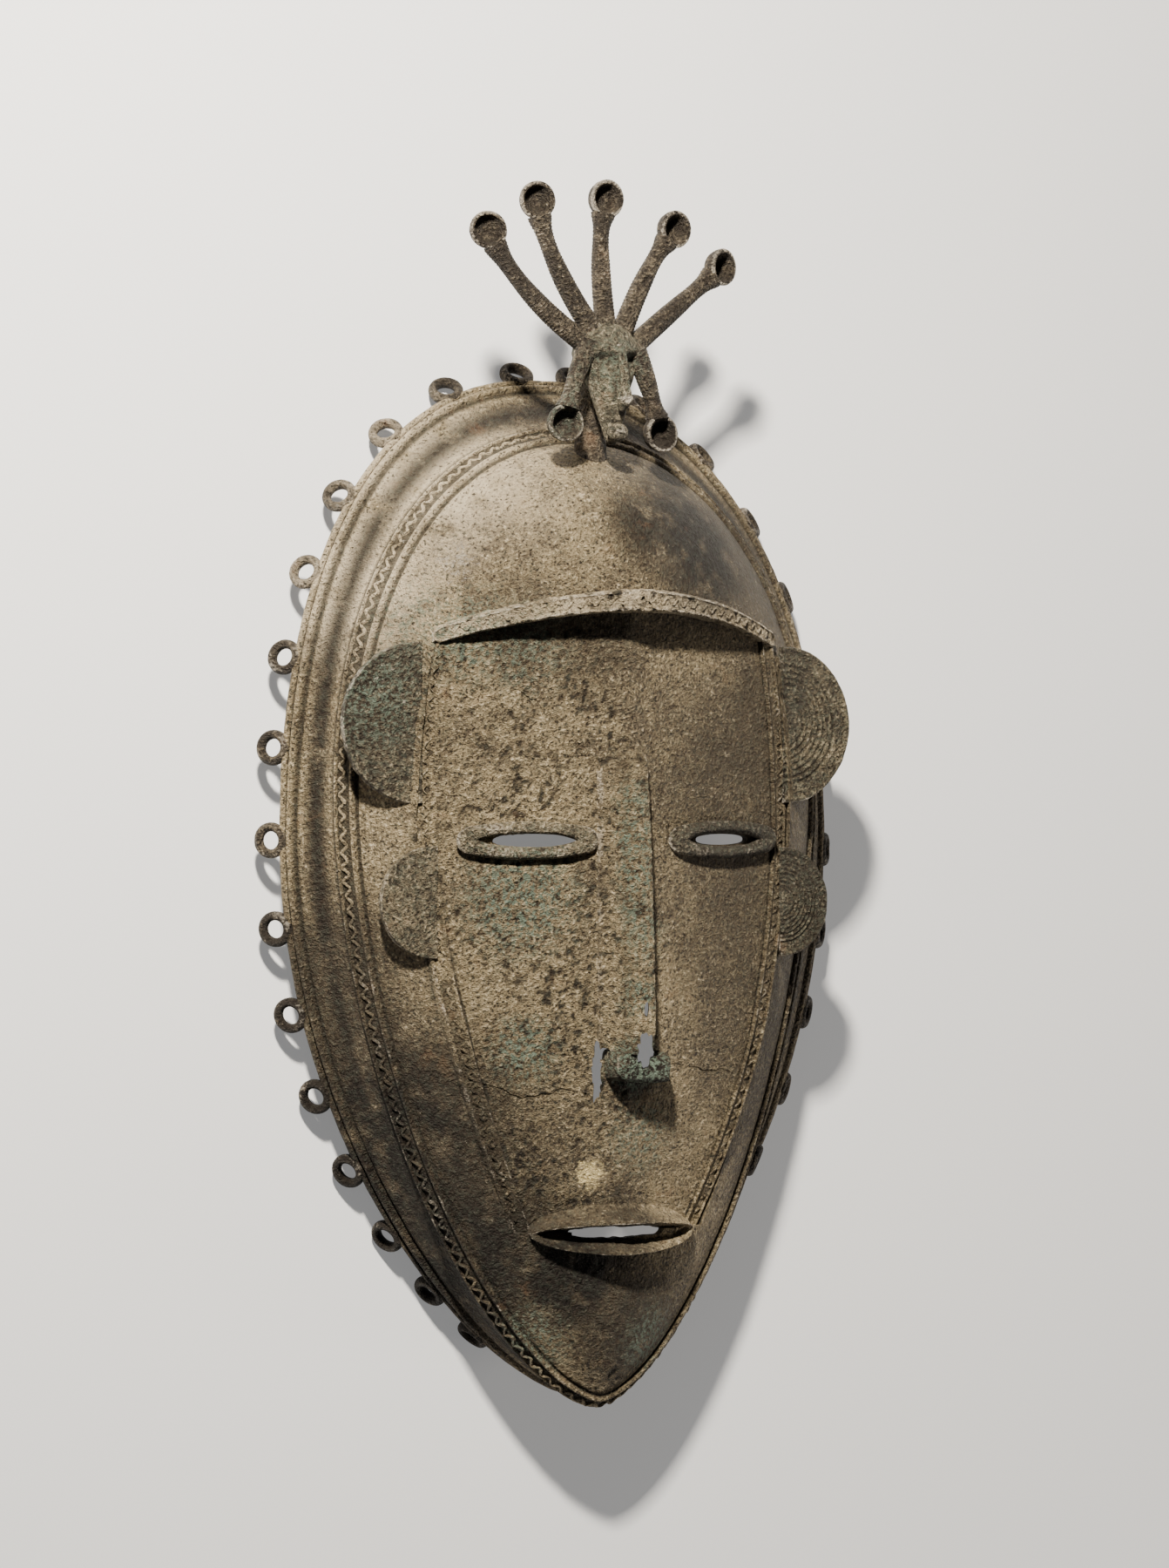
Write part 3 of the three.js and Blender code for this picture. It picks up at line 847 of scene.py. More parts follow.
@dataclass
class Shell:
    """The egg-shaped shell with its corded rim, its band and its dome.

    Args:
        around: Points round the outside.
        inner_around: Points round the inside.
        rim_width: Width of the beaded rim.
        rim_cords: Middles of the two rim cords, from the edge.
        band_half: Half width of the band.
        band_cord: Distance of each band cord from the middle of the band.
        band_end: Where the dome starts, from the middle of the band.
        dish: Depth of the hollow along the flange.
        lost_edge: Width that the rim has lost where it is broken.
        corded_rows: First row and the one after the last, for the rim's cords and for the band.
        inner_stations: Stations of the inside.
    """

    around: int = 620
    inner_around: int = 200
    rim_width: float = 5.8
    rim_cords: Pair = (1.05, 3.3)
    band_half: float = 3.1
    band_cord: float = 2.05
    band_end: float = 3.6
    dish: float = 0.7
    lost_edge: float = 1.2
    corded_rows: tuple[tuple[int, int], ...] = ((0, 14), (29, 54))
    inner_stations: tuple[float, ...] = (-0.5, 0.2, 0.5, 0.8, 0.95, 1.05, 1.14, 1.25, 1.4, 1.6, 1.8)

    def profile(self, angle: Points) -> tuple[Points, Points, Points, Points]:
        """The outside from the rim to the spine.

        Args:
            angle: Angles round the shell.

        Returns:
            Stations, lifts, a share across the flange and the painted shade of the grooves, each as (step,
            angle).
        """
        rim = FORM.rim_at(angle)
        ragged = 1.5 * smooth_noise(rim, 4.0)
        lost = ((rim[:, 0] > 0) & (rim[:, 1] + ragged < FORM.broken_below_y)).astype(float)
        flange, dome = FORM.flange_length(angle), FORM.dome_length(angle)
        edge = lost * (self.lost_edge + 0.35 * smooth_noise(rim, 2.5, 3))
        near = np.linspace(0, self.rim_width, 17)[:, None] + 0 * angle
        bead = sum(rounded(near - middle, 1.1, 1.15) for middle in self.rim_cords)
        bead = np.maximum(bead, np.where(near < 4, 0.05, 0)) - 0.55 * bell(near - 5.0, 0.55)
        bead = bead * (1 - lost)
        across = np.linspace(0, 1, 14)[1:-1, None] + 0 * angle
        flat = self.rim_width + (flange - self.band_half - self.rim_width) * across
        wide = np.linspace(-self.band_half, self.band_end, 25)[:, None] + 0 * angle
        cords = sum(rounded(wide - side * self.band_cord, 0.58, 1.05) for side in (-1, 1))
        cords = cords - 0.4 * bell(wide - 3.0, 0.45) - 0.2 * bell(wide + 2.95, 0.4)
        start = self.band_end / dome
        inner = 1 + start + (1 - start) * np.linspace(0, 1, 42)[1:-1, None]
        stations = [(edge + near) / flange, (edge * (1 - across) + flat) / flange]
        stations += [np.where(wide < 0, 1 + wide / flange, 1 + wide / dome), inner]
        lifts = [bead, -self.dish * np.sin(math.pi * across), cords, 0 * inner]
        shares = [0 * near, across, 0 * wide, 0 * inner]
        # Painted shade in the grooves beside the band's cords and the rim's cords
        beside = np.clip(1 - cords / 0.5, 0, 1) * (np.abs(wide) < 3.45)
        low = [np.clip(1 - bead / 0.5, 0, 1), 0 * across, beside, 0 * inner]
        return tuple(np.concatenate(part) for part in (stations, lifts, shares, low))

    def outside(self) -> tuple[Piece, Points, Points, Points]:
        """The solid outside of the shell.

        Returns:
            The solid, and grids of its places, of the share across the flange and of the painted shade of the
            grooves.
        """
        angle = FORM.mirrored_angles(self.around)
        stations, lifts, shares, low = self.profile(angle)
        skirt = FORM.lifted(angle, stations[0], 0 * angle)
        grid = FORM.lifted(angle, stations, lifts)
        spine = FORM.spine_at(angle)
        foot = spine * (0, 1, 0) + (0, 0, -3)
        rings = np.concatenate([foot[None], skirt[None], grid, spine[None]])
        return skin("shell", rings, Ends.FOLD), grid, shares, low

    def inside(self) -> Piece:
        """The space behind the shell, down past the floor.

        Returns:
            A closed solid to cut away.
        """
        angle = FORM.mirrored_angles(self.inner_around)
        stations = np.array(self.inner_stations)[:, None] + 0 * angle
        rings = FORM.lifted(angle, stations, np.full(stations.shape, -FORM.wall))
        spine = FORM.spine_at(angle)
        foot = spine * (0, 1, 0) + (0, 0, -60)
        top = spine - (0, 0, FORM.wall)
        return skin("space", np.concatenate([foot[None], rings, top[None]]), Ends.FOLD)


def face_places(rows: Points, columns: Points, inward: Points, inset: float) -> tuple[Points, Points]:
    """Places over the face panel.

    Args:
        rows: Shares from the bottom of the panel to the brow.
        columns: Shares of the half width, from -1 to 1.
        inward: How far each column stands in from its share, in millimetres.
        inset: How much smaller the outline is than the panel's.

    Returns:
        The X and the Y of a grid of places.
    """
    length = FORM.brow_y + FORM.under_brow - inset - FORM.face_low_y
    level = (FORM.face_low_y + length * rows)[:, None]
    x = columns * (FORM.face_edge(level) - inset) - np.sign(columns) * inward
    return x, level + (FORM.brow_line(x) - FORM.brow_y) * rows[:, None]


def face_slab(name: str, inset: float, top: Height, bottom: Height, fine: bool = False) -> Piece:
    """A slab in the outline of the face panel.

    Args:
        name: The object's name.
        inset: How much smaller the outline is than the panel's.
        top: Gives the upper height at some X and Y, with the distance from the edge.
        bottom: Gives the lower height in the same way.
        fine: Whether the grid is close enough for relief.

    Returns:
        The new object.
    """
    if fine:
        strip = np.linspace(0, 6.4, 15)
        middle = np.linspace(-1, 1, 152)[1:-1] * 0.89
        columns = np.concatenate([-np.ones(15), middle, np.ones(15)])
        inward = np.concatenate([strip, 0 * middle, strip[::-1]])
        rows = np.linspace(0, 1, 236)
    else:
        columns, rows = np.linspace(-1, 1, 17), np.linspace(0, 1, 21)
        inward = 0 * columns
    x, y = face_places(rows, columns, inward, inset)
    edge = (np.abs(columns) >= 1) * inward + (np.abs(columns) < 1) * 99.0 + 0 * x
    grids = [np.stack([x, y, height(x, y, edge)], -1) for height in (top, bottom)]
    return slab(name, grids[0], grids[1])


def flat_at(level: float) -> Height:
    """A level height for a side of a face slab."""
    return lambda x, y, edge: 0 * x + level


def over_face(lift: float) -> Height:
    """A height over the face panel for a side of a face slab."""
    return lambda x, y, edge: FORM.face_height(x, y) + lift


def prism(name: str, outline: Points, low: float = -20, high: float = 90) -> Piece:
    """An upright prism over an outline of X and Y places."""
    rings = [np.column_stack([outline, np.full(len(outline), z)]) for z in (low, high)]
    return skin(name, np.array(rings))


def oval(
    x: float, y: float, half_length: float, half_height: float, power: float = 1.0, count: int = 64
) -> Points:
    """Outline of an oval whose ends grow pointed as its power grows over 1.

    Args:
        x: X of its middle.
        y: Y of its middle.
        half_length: Half of its length.
        half_height: Half of its height.
        power: How pointed its ends are.
        count: Points in the outline.

    Returns:
        The X and Y of each point.
    """
    turn = circle(count)
    up = half_height * signed_power(np.sin(turn), power)
    return np.column_stack([x + half_length * np.cos(turn), y + up])


@dataclass
class Face:
    """The bowed panel with its strips, slits, holes and cracks.

    Args:
        strip_cords: Middles of the strip's two cords, from the edge.
        strip_height: Height of the ground between them.
        eye_y: Y of both slits.
        eye_slits: X, length and height of each slit.
        mouth_y: Y whose height of the panel the lips stand on.
        mouth_slit: Y, half length and half height of the mouth's slit.
        holes: X, Y, height, half length, half height and seed of each torn hole.
        hole_lean: How far the holes lean aside as they go down.
        cracks: The corners of each crack.
    """

    strip_cords: Pair = (0.75, 5.0)
    strip_height: float = 0.45
    eye_y: float = 9.0
    eye_slits: Table = ((-26.6, 24, 3.7), (33.0, 20, 3.1))
    mouth_y: float = -98.5
    mouth_slit: Triple = (-100.3, 14.6, 1.7)
    holes: Table = (
        (-9.2, -56.5, 41, 1.5, 7.6, 5), (-7.6, -50.4, 42, 2.6, 1.6, 6), (3.4, -49.4, 46, 2.3, 4.8, 7),
        (5.0, -51.6, 46, 1.4, 2.2, 8), (1.9, -38.2, 49.5, 0.55, 1.9, 9),
    )
    hole_lean: float = 0.53
    cracks: tuple[tuple[Pair, ...], ...] = (
        ((-41, -57.9), (-35, -59.9), (-30, -62.8), (-20.4, -60.3), (-12, -61.1)),
        ((12, -53.0), (21.2, -54.7), (34.4, -56.2), (41.3, -57.9)),
        ((-33, 51), (-27, 47.5), (-24, 43)),
        ((1.5, -28), (2.5, -36), (1.2, -44)),
    )

    def relief(self, x: Points, y: Points, edge: Points) -> Points:
        """Height of the panel with its raised strips.

        Args:
            x: Distances from the middle line.
            y: Distances towards the crest.
            edge: Distances from the edge of the panel.

        Returns:
            The heights.
        """
        faint = np.where(x < 0, np.interp(y, (-34, -8), (1, 0.25)), 0.8)
        cords = sum(rounded(edge - middle, 0.62, 0.8) for middle in self.strip_cords)
        ground = np.where(edge < 5.3, self.strip_height, 0)
        bevel = np.where(edge < 0.3, -0.5, 0)
        groove = 0.25 * bell(edge - 6.0, 0.4)
        return FORM.face_height(x, y) + (ground + cords - groove) * faint + bevel

    def slits(self) -> list[Piece]:
        """Tools for the eye slits.

        Returns:
            One tool for each slit.
        """
        return [
            prism("slit", oval(x, self.eye_y, length / 2, height / 2, 0.7))
            for x, length, height in self.eye_slits
        ]

    def mouth_tool(self) -> Piece:
        """Tool for the slit between the lips, with the uneven edge of the metal."""
        outline = oval(0.2, *self.mouth_slit, 0.7, 90)
        outline[:, 1] += 0.35 * flat_noise(outline, 2.2, 11)
        return prism("mouth slit", outline)

    def hole_tools(self) -> list[Piece]:
        """Tools for the torn holes beside the nose.

        Returns:
            One tool for each hole.
        """
        tools = []
        for x, y, level, half_x, half_y, seed in self.holes:
            outline = oval(x, y, half_x, half_y, 1, 48)
            bumps = flat_noise(outline, 1.3, seed)
            along, up = ((outline - (x, y)) * (1 + 0.35 * bumps[:, None]) + (x, y)).T
            rings = [(along - self.hole_lean * (z - level), up, 0 * bumps + z) for z in (20, 70)]
            tools.append(skin("hole", np.array([np.column_stack(ring) for ring in rings])))
        return tools

    def crack_tools(self) -> list[Piece]:
        """Thin wedges along the cracks.

        Returns:
            One wedge for each crack.
        """
        tools = []
        for number, knots in enumerate(self.cracks):
            knots = np.array(knots, float)
            length = lengths_along(knots)
            at = np.arange(0, length[-1], 0.8)
            path = np.column_stack([np.interp(at, length, knots[:, k]) for k in (0, 1)])
            path[:, 1] += 0.75 * flat_noise(path, 2.4, 20 + number)
            x, y = path.T
            height = FORM.face_height(x, y)
            wide = 0.42 * np.sin(np.linspace(0.15, math.pi - 0.15, len(at))) + 0.06
            rows = [(-1, 1.2), (1, 1.2), (0, -0.75)]
            rings = [np.column_stack([x, y + side * wide, height + up]) for side, up in rows]
            tools.append(skin("crack", np.stack(rings, 1)))
        return tools

    def panel(self, space: Piece) -> Piece:
        """The finished panel, open behind."""
        body = face_slab("face", 0, self.relief, flat_at(-2), fine=True)
        tools = [space, *self.slits(), self.mouth_tool(), *self.hole_tools(), *self.crack_tools()]
        return cut(body, tools)


@dataclass
class Brow:
    """The curved band over the recessed face.

    Args:
        width: Width in the middle.
        end_width: Width at the ends.
        thickness: How far it stands out.
        rise: Height of its middle line over the dome.
        squareness: Powers that square its section, aside and up.
    """

    width: float = 6.5
    end_width: float = 5.0
    thickness: float = 2.9
    rise: float = -0.6
    squareness: Pair = (0.45, 0.75)

    def middle(self, x: Points) -> Points:
        """Places along the middle of the band."""
        y = FORM.brow_line(x) + self.width / 2
        return np.stack([x, y, FORM.dome_height(x, y) + self.rise], -1)

    def band(self, space: Piece) -> Piece:
        """The band with a cord along each side.

        Args:
            space: The hollow behind it.

        Returns:
            The band.
        """
        x = np.linspace(-FORM.brow_reach, FORM.brow_reach, 190)
        path = self.middle(x)
        share = np.abs(x) / FORM.brow_reach
        half = (self.width + (self.end_width - self.width) * share) / 2
        half = half * np.clip((1.01 - share) * 40, 0.62, 1)
        turn = circle(44)
        aside = signed_power(np.cos(turn), self.squareness[0])
        up = signed_power(np.sin(turn), self.squareness[1])
        cords = sum(rounded(aside - side * 0.8, 0.24, 0.6) for side in (-1, 1)) * (np.sin(turn) > 0)
        rings = path[:, None] + np.zeros((1, len(turn), 3))
        rings[..., 1] += half[:, None] * aside
        rings[..., 2] += self.thickness * up - 0.45 * (np.sin(turn) > 0) + cords
        return cut(skin("brow", rings), [space])


@dataclass
class Eyes:
    """The oval cords round the slits.

    Args:
        middles: X of each oval's middle.
        half_lengths: Half of each oval's length.
        half_height: Half of their height.
        cord: Half width of the cord.
    """

    middles: Pair = (-29.5, 33.0)
    half_lengths: Pair = (16.6, 17.2)
    half_height: float = 3.6
    cord: float = 1.75

    def rim(self, side: int, level: float) -> Piece:
        """The cord of one eye.

        Args:
            side: -1 for the eye at the left of the photograph and 1 for the other.
            level: Y of the slits.

        Returns:
            The cord.
        """
        middle, half_length = self.middles[side > 0], self.half_lengths[side > 0]
        x, y = oval(middle, level, half_length, self.half_height, 0.95, 150).T
        away = np.abs(x - middle) / half_length
        path = np.column_stack([x, y, FORM.face_height(x, y) + self.cord * 0.6])
        size = self.cord * (1 + 0.06 * smooth_noise(path, 5, 4))
        halves = np.column_stack([size * (1 + 0.75 * away**5), size * (1 - 0.25 * away**5)])
        name = "eye-rim.left" if side < 0 else "eye-rim.right"
        return skin(name, tube_rings(path, halves, 18, closed=True), Ends.LOOP)


@dataclass
class Nose:
    """The bar of the nose and what is left of its wings.

    Args:
        sections: Y, the right edge and the height of the bar at some places.
        soft_side: X, base and share of the height of the lines on the left.
        sharp_side: Distance in from the right edge, share of the height and drop of the rest.
        wing_middles: X and Y along the middle of the wings.
        wing_widths: X and half width of the wings, up and down the face.
        wing_heights: X and height of the wings over the face.
    """

    sections: Table = (
        (33.8, 3.3, 0.4), (32.8, 3.5, 2.2), (30, 3.6, 3.2), (5, 4.0, 5.0),
        (-25, 4.4, 5.8), (-45, 4.5, 6.0), (-50.5, 4.2, 5.2),
    )
    soft_side: Table = (
        (-10.5, -5, 0), (-10, -0.4, 0), (-8.4, -0.05, 0.02), (-7.2, 0, 0.08), (-6.5, 0, 0.13),
        (-6.1, 0, 0.2), (-5.7, 0, 0.38), (-5.1, 0, 0.46), (-4, 0, 0.54), (-2.6, 0, 0.66),
        (-1.2, 0, 0.8), (0.2, 0, 0.92), (1.2, 0, 0.98),
    )
    sharp_side: Table = (
        (1.6, 1, 0), (0.7, 1, 0), (0.2, 1, -0.25), (0, 1, -0.8), (-0.05, 0.5, 0), (-0.25, 0, -0.3),
        (-0.4, 0, -5),
    )
    wing_middles: Table = (
        (-7.4, -5, -1, 3, 8, 10.9), (-52.6, -53.4, -54.3, -55.0, -54.6, -53.6)
    )
    wing_widths: Table = (
        (-7.4, -6.8, -4.5, 0, 5, 9.6, 10.9), (1.6, 4.0, 4.3, 3.6, 3.4, 4.2, 2.2)
    )
    wing_heights: Table = (
        (-7.4, -6.6, -4, 1, 6, 9.8, 10.9), (1.4, 5.2, 6.6, 6.8, 5.9, 5.6, 3.0)
    )

    def bar(self) -> Piece:
        """The bar, sharp on the right and soft on the left.

        Returns:
            The bar before its holes.
        """
        y, right, rise = drawn_out(self.sections, 120)
        right = right + 0.16 * smooth_noise(np.column_stack([y, 0 * y, 0 * y]), 4.5, 9)
        rings = [np.column_stack([0 * y + x, y, low + rise * share]) for x, low, share in self.soft_side]
        for inward, share, drop in self.sharp_side:
            rings.append(np.column_stack([right - inward, y, rise * share + drop]))
        rings = np.stack(rings, 1)
        rings[..., 2] += FORM.face_height(rings[..., 0] * 0, rings[..., 1])
        return skin("nose", rings)

    def wings(self) -> Piece:
        """The curled remnant under the bar.

        Returns:
            The wings before their holes.
        """
        x = np.linspace(self.wing_middles[0][0], self.wing_middles[0][-1], 64)
        tables = (self.wing_middles, self.wing_widths, self.wing_heights)
        centre, half_y, half_z = (np.interp(x, *table) for table in tables)
        turn = circle(40)
        power = np.where(np.cos(turn) < 0, 0.4, 0.75)
        square = [signed_power(part, power) for part in (np.cos(turn), np.sin(turn))]
        rings = np.zeros((len(x), len(turn), 3))
        rings[..., 0] = x[:, None]
        rings[..., 1] = centre[:, None] + half_y[:, None] * square[0]
        rings[..., 2] = FORM.face_height(0 * x, centre)[:, None] + half_z[:, None] * square[1]
        rings[..., 2] -= (1.3 * bell(x - 4.4, 2.2))[:, None] * np.maximum(square[0], 0)
        rings += 0.22 * smooth_noise(rings, 2.1, 15)[..., None]
        return skin("nose-wings", rings)

    def pieces(self, space: Piece, face: Face) -> list[Piece]:
        """The bar cut by the holes, and the wings."""
        tools = face.hole_tools()
        return [cut(self.bar(), [*tools, space]), cut(self.wings(), [space, tools[0], tools[2]])]


@dataclass
class Lips:
    """The flaring lips round the slit of the mouth, by sections.

    Args:
        half_width: Half width of the lips.
        height: How far they stand out.
        sections: Share of the half width, upper and lower edge over the slit's middle, base and share
            of the height of each ring, from the outside to the slit.
    """

    half_width: float = 25.6
    height: float = 6.5
    sections: Table = (
        (0.95, 9.8, -3.8, -10, 0), (0.98, 10.6, -4.2, -0.6, 0), (0.985, 9.6, -4.4, -0.1, 0.03),
        (0.99, 8.2, -4.7, 0.1, 0.13), (1.0, 6.4, -5.2, 0.5, 0.42), (1.01, 4.7, -5.8, 0.9, 0.84),
        (1.015, 3.5, -6.1, 1.1, 1.06), (1.0, 2.6, -5.9, 1.2, 1.12), (0.96, 2.1, -5.1, 1.1, 1.0),
        (0.87, 1.9, -3.6, 0.7, 0.6), (0.64, 1.2, -1.6, 0.3, 0.15),
    )

    def piece(self, space: Piece, face: Face) -> Piece:
        """The lips with their slit.

        Args:
            space: The hollow behind them.
            face: The face that they stand on.

        Returns:
            The lips.
        """
        known = np.array(self.sections)
        steps = np.arange(len(known))
        fine = np.linspace(0, steps[-1], 49)
        width, upper, lower, base, lift = (np.interp(fine, steps, known[:, k]) for k in range(5))
        turn = circle(160)
        x = self.half_width * width[:, None] * np.cos(turn)
        reach = np.where(np.sin(turn) > 0, upper[:, None], -lower[:, None])
        y = face.mouth_slit[0] + reach * np.sin(turn) + 0 * x
        bulge = np.sqrt(np.clip(1 - (x / self.half_width / 1.1) ** 2, 0, 1))
        foot = FORM.face_height(x, 0 * x + face.mouth_y) + base[:, None]
        z = foot + self.height * lift[:, None] * bulge
        return cut(skin("lips", np.stack([x, y, z], -1)), [face.mouth_tool(), space])


@dataclass
class EarLobes:
    """The four grooved half discs beside the face.

    Args:
        lobes: Side, Y, radius and shift from the face's edge of each lobe.
        grooves: Where the grooves run, as shares of the radius.
        open_grooves: How many of them are not filled on the left, where the lobes are worn.
        thickness: Thickness of a lobe.
        lip: Height of its raised edge.
        tilt: How much it turns down outwards, in degrees.
        seat: How far its straight edge reaches into the face.
    """

    lobes: Table = (
        (-1, 41.4, 22.3, 0), (1, 41.4, 22.3, 0), (-1, -8, 15.5, -2.8), (1, -9, 15.5, 0)
    )
    grooves: tuple[float, ...] = (0.27, 0.35, 0.43, 0.51, 0.59, 0.67, 0.75)
    open_grooves: int = 3
    thickness: float = 2.2
    lip: float = 0.8
    tilt: float = 6.0
    seat: float = 0.9

    def lobe(self, number: int) -> Piece:
        """One lobe in its place.

        Args:
            number: Its place in the list of lobes.

        Returns:
            The lobe, with painted shade along its grooves.
        """
        side, y, radius, shift = self.lobes[number]
        top = self.thickness / 2
        radii = np.linspace(0.2, radius, 96)
        share = radii / radius
        relief = 0.5 if side < 0 else 1.0
        grooves = self.grooves[: self.open_grooves if side < 0 else None]
        dips = sum(bell((share - groove) * radius, 0.42) for groove in grooves)
        rim = self.lip * np.clip((radii - (radius - 2.0)) / 1.2, 0, 1) * relief
        rim += 0.5 * np.sin(math.pi * share)
        upper = top + rim - 0.42 * relief * dips
        upper[-1] -= 0.5
        profile = [(0.2, -top), (radius * 0.5, -top), (radius - 0.4, -top), (radius, -top + 0.4)]
        profile += list(zip(radii[::-1], upper[::-1]))
        disc = skin(f"ear-lobe.{number}", lathed(profile, circle(150)))
        keep = prism("keep", np.array([(-self.seat, -60), (60, -60), (60, 60), (-self.seat, 60)]), -20, 20)
        half = cut(disc, [keep], Cut.KEEP)
        edge = float(FORM.face_edge(np.array(y))) + shift
        turned = Matrix.Rotation(math.radians(self.tilt), 4, "Y")
        if side < 0:
            turned = Matrix.Rotation(math.pi, 4, "Z") @ turned
        height = float(FORM.face_height(np.array(edge), np.array(y)))
        flat = coordinates(half.data)
        away = np.linalg.norm(flat[:, :2], axis=1)
        # Painted shade along the grooves, on the upper side only
        lines = sum(bell(away - groove * radius, 0.4) for groove in self.grooves)
        store(half.data, "groove", lines * (0.25 if side < 0 else 0.75) * (flat[:, 2] > 0))
        half.data.transform(Matrix.Translation((side * edge, y, height)) @ turned)
        return half


@dataclass
class RimLoops:
    """The loops along the rim, placed by a node tree.

    Args:
        per_side: How many stand on each side.
        last_y: Y of the last one.
        radius: Radius of a loop.
        wire: Half thickness of its wire.
        depth: How much taller than wide the wire is.
        out: Distance of a loop's middle from the rim.
        crowding: How much the loops draw together towards the chin.
        first_x: X of the first loop on the left and on the right.
    """

    per_side: int = 15
    last_y: float = -131
    radius: float = 3.75
    wire: float = 1.28
    depth: float = 1.35
    out: float = 3.1
    crowding: float = 0.27
    first_x: Pair = (5, 12)

    def angles(self, first_x: float) -> Points:
        """Angles of the loops of one side.

        Args:
            first_x: X of the first loop.

        Returns:
            The angles, from the top.
        """
        fine = np.linspace(0, math.pi, 721)
        rim = FORM.rim_at(fine)
        used = slice(int(np.argmax(rim[:, 0] >= first_x)), int(np.argmax(rim[:, 1] <= self.last_y)) + 1)
        length = lengths_along(rim[used])
        share = np.linspace(0, 1, self.per_side)
        place = (share + self.crowding * share**3 * (1 - share)) * length[-1]
        return np.interp(place, length, fine[used])

    def loops(self, finish: Material) -> Piece:
        """All loops as one mesh.

        Args:
            finish: Their material.

        Returns:
            The loops.
        """
        angle = np.concatenate([-self.angles(self.first_x[0]), self.angles(self.first_x[1])])
        rim = FORM.rim_at(angle)
        out = rim - FORM.shell(angle, 0.5)
        out /= np.linalg.norm(out, axis=-1, keepdims=True)
        normal = FORM.normal(angle, 0.1 + 0 * angle)
        seed = traced("rim-loops", rim + out * self.out, facing=normal, outward=out)
        recipe = Recipe("Rim loops", Radius=self.radius, Wire=self.wire, Depth=self.depth)
        ring = recipe.ring(36, recipe.given("Radius"))
        wire = recipe.ring(16, recipe.given("Wire"))
        round_loop = recipe.node("GeometryNodeCurveToMesh", None, {"Curve": ring, "Profile Curve": wire})
        tall = recipe.node("ShaderNodeCombineXYZ", None, {0: 1.0, 1: 1.0, 2: recipe.given("Depth")})
        loop = recipe.node("GeometryNodeTransform", None, {"Geometry": round_loop, "Scale": tall})
        values = {"Vector": recipe.attribute("facing")}
        turned = recipe.node("FunctionNodeAlignRotationToVector", {"axis": "Z"}, values)
        values = {"Rotation": turned, "Vector": recipe.attribute("outward")}
        turned = recipe.node("FunctionNodeAlignRotationToVector", {"axis": "X", "pivot_axis": "Z"}, values)
        values = {"Points": recipe.start, "Instance": loop, "Rotation": turned}
        recipe.close(recipe.node("GeometryNodeInstanceOnPoints", None, values), finish)
        return recipe.grow(seed)


@dataclass
class Zigzags:
    """The zigzag cords of the band, the strips and the brow.

    Args:
        pitch: Length of one full zigzag.
        reach: How far it swings to each side.
        cord: Radius of the cord.
    """

    pitch: float = 4.0
    reach: float = 1.25
    cord: float = 0.5

    def along(
        self, name: str, path: Points, across: Points | tuple[int, ...], bold: Points, finish: Material
    ) -> Piece:
        """A zigzag along a path.

        Args:
            name: The object's name.
            path: Places along its middle.
            across: The direction that it swings in, or one for each place.
            bold: How thick it is along the path, as a share.
            finish: Its material.

        Returns:
            The cord as a mesh.
        """
        edges = [(i, i + 1) for i in range(len(path) - 1)]
        seed = traced(name, path, edges, across=np.broadcast_to(across, path.shape), bold=bold)
        recipe = Recipe(name, Pitch=self.pitch, Reach=self.reach, Cord=self.cord)
        line = recipe.node("GeometryNodeMeshToCurve", None, {"Mesh": recipe.start})
        line = recipe.resampled(line, recipe.given("Pitch") / 2)
        index = recipe.node("GeometryNodeInputIndex")
        swing = (index.math("MODULO", index, 2.0) * 2 - 1) * recipe.given("Reach")
        place = recipe.node("GeometryNodeInputPosition")
        drift = recipe.noise(place, 0.35, 1) * 0.5 + 0.75
        offset = recipe.vector("SCALE", recipe.attribute("across"), Scale=swing * drift)
        line = recipe.node("GeometryNodeSetPosition", None, {"Geometry": line, "Offset": offset})
        line = recipe.resampled(line, 0.5)
        blurred = recipe.node("GeometryNodeBlurAttribute", {"data_type": "FLOAT_VECTOR"}, {"Iterations": 2})
        blur = blurred.socket.node
        recipe.tree.links.new(place.socket, next(s for s in blur.inputs if s.type == "VECTOR"))
        spot = Wire(recipe, next(s for s in blur.outputs if s.type == "VECTOR"))
        line = recipe.node("GeometryNodeSetPosition", None, {"Geometry": line, "Position": spot})
        ring = recipe.ring(7, recipe.given("Cord"))
        size = (recipe.noise(place, 0.45, 2) * 1.5 + 0.15) * recipe.attribute("bold", "FLOAT")
        recipe.close(recipe.swept(line, ring, size), finish)
        return recipe.grow(seed)

    def pieces(self, brow: Brow, finish: Material) -> list[Piece]:
        """The zigzags of the whole mask.

        Args:
            brow: The brow that one of them lies on.
            finish: Their material.

        Returns:
            The cords of the band, the two strips and the brow.
        """
        even = FORM.even_angles(620)
        angle = np.interp(np.linspace(0, len(even) - 1, 900), np.arange(len(even)), even)
        path = FORM.lifted(angle, 1 + 0 * angle, 0.12 + 0 * angle)
        side = FORM.shell(angle, 1.03 + 0 * angle) - FORM.shell(angle, 0.97 + 0 * angle)
        side /= np.linalg.norm(side, axis=-1, keepdims=True)
        made = [self.along("band-zigzag", path, side, 0 * angle + 1.05, finish)]
        for turn, name in ((-1, "left"), (1, "right")):
            y = np.linspace(-97, FORM.brow_y - 11, 300)
            x = turn * (FORM.face_edge(y) - 2.9)
            path = np.column_stack([x, y, FORM.face_height(x, y) + 0.35])
            bold = np.interp(y, (-34, -8), (0.95, 0.35)) if turn < 0 else 0 * y + 0.6
            made.append(self.along(f"strip-zigzag.{name}", path, (1, 0, 0), bold, finish))
        path = brow.middle(np.linspace(-50, 50, 300)) + (0, 0, brow.thickness - 0.5)
        made.append(self.along("brow-zigzag", path, (0, 1, 0), np.full(300, 0.75), finish))
        return made


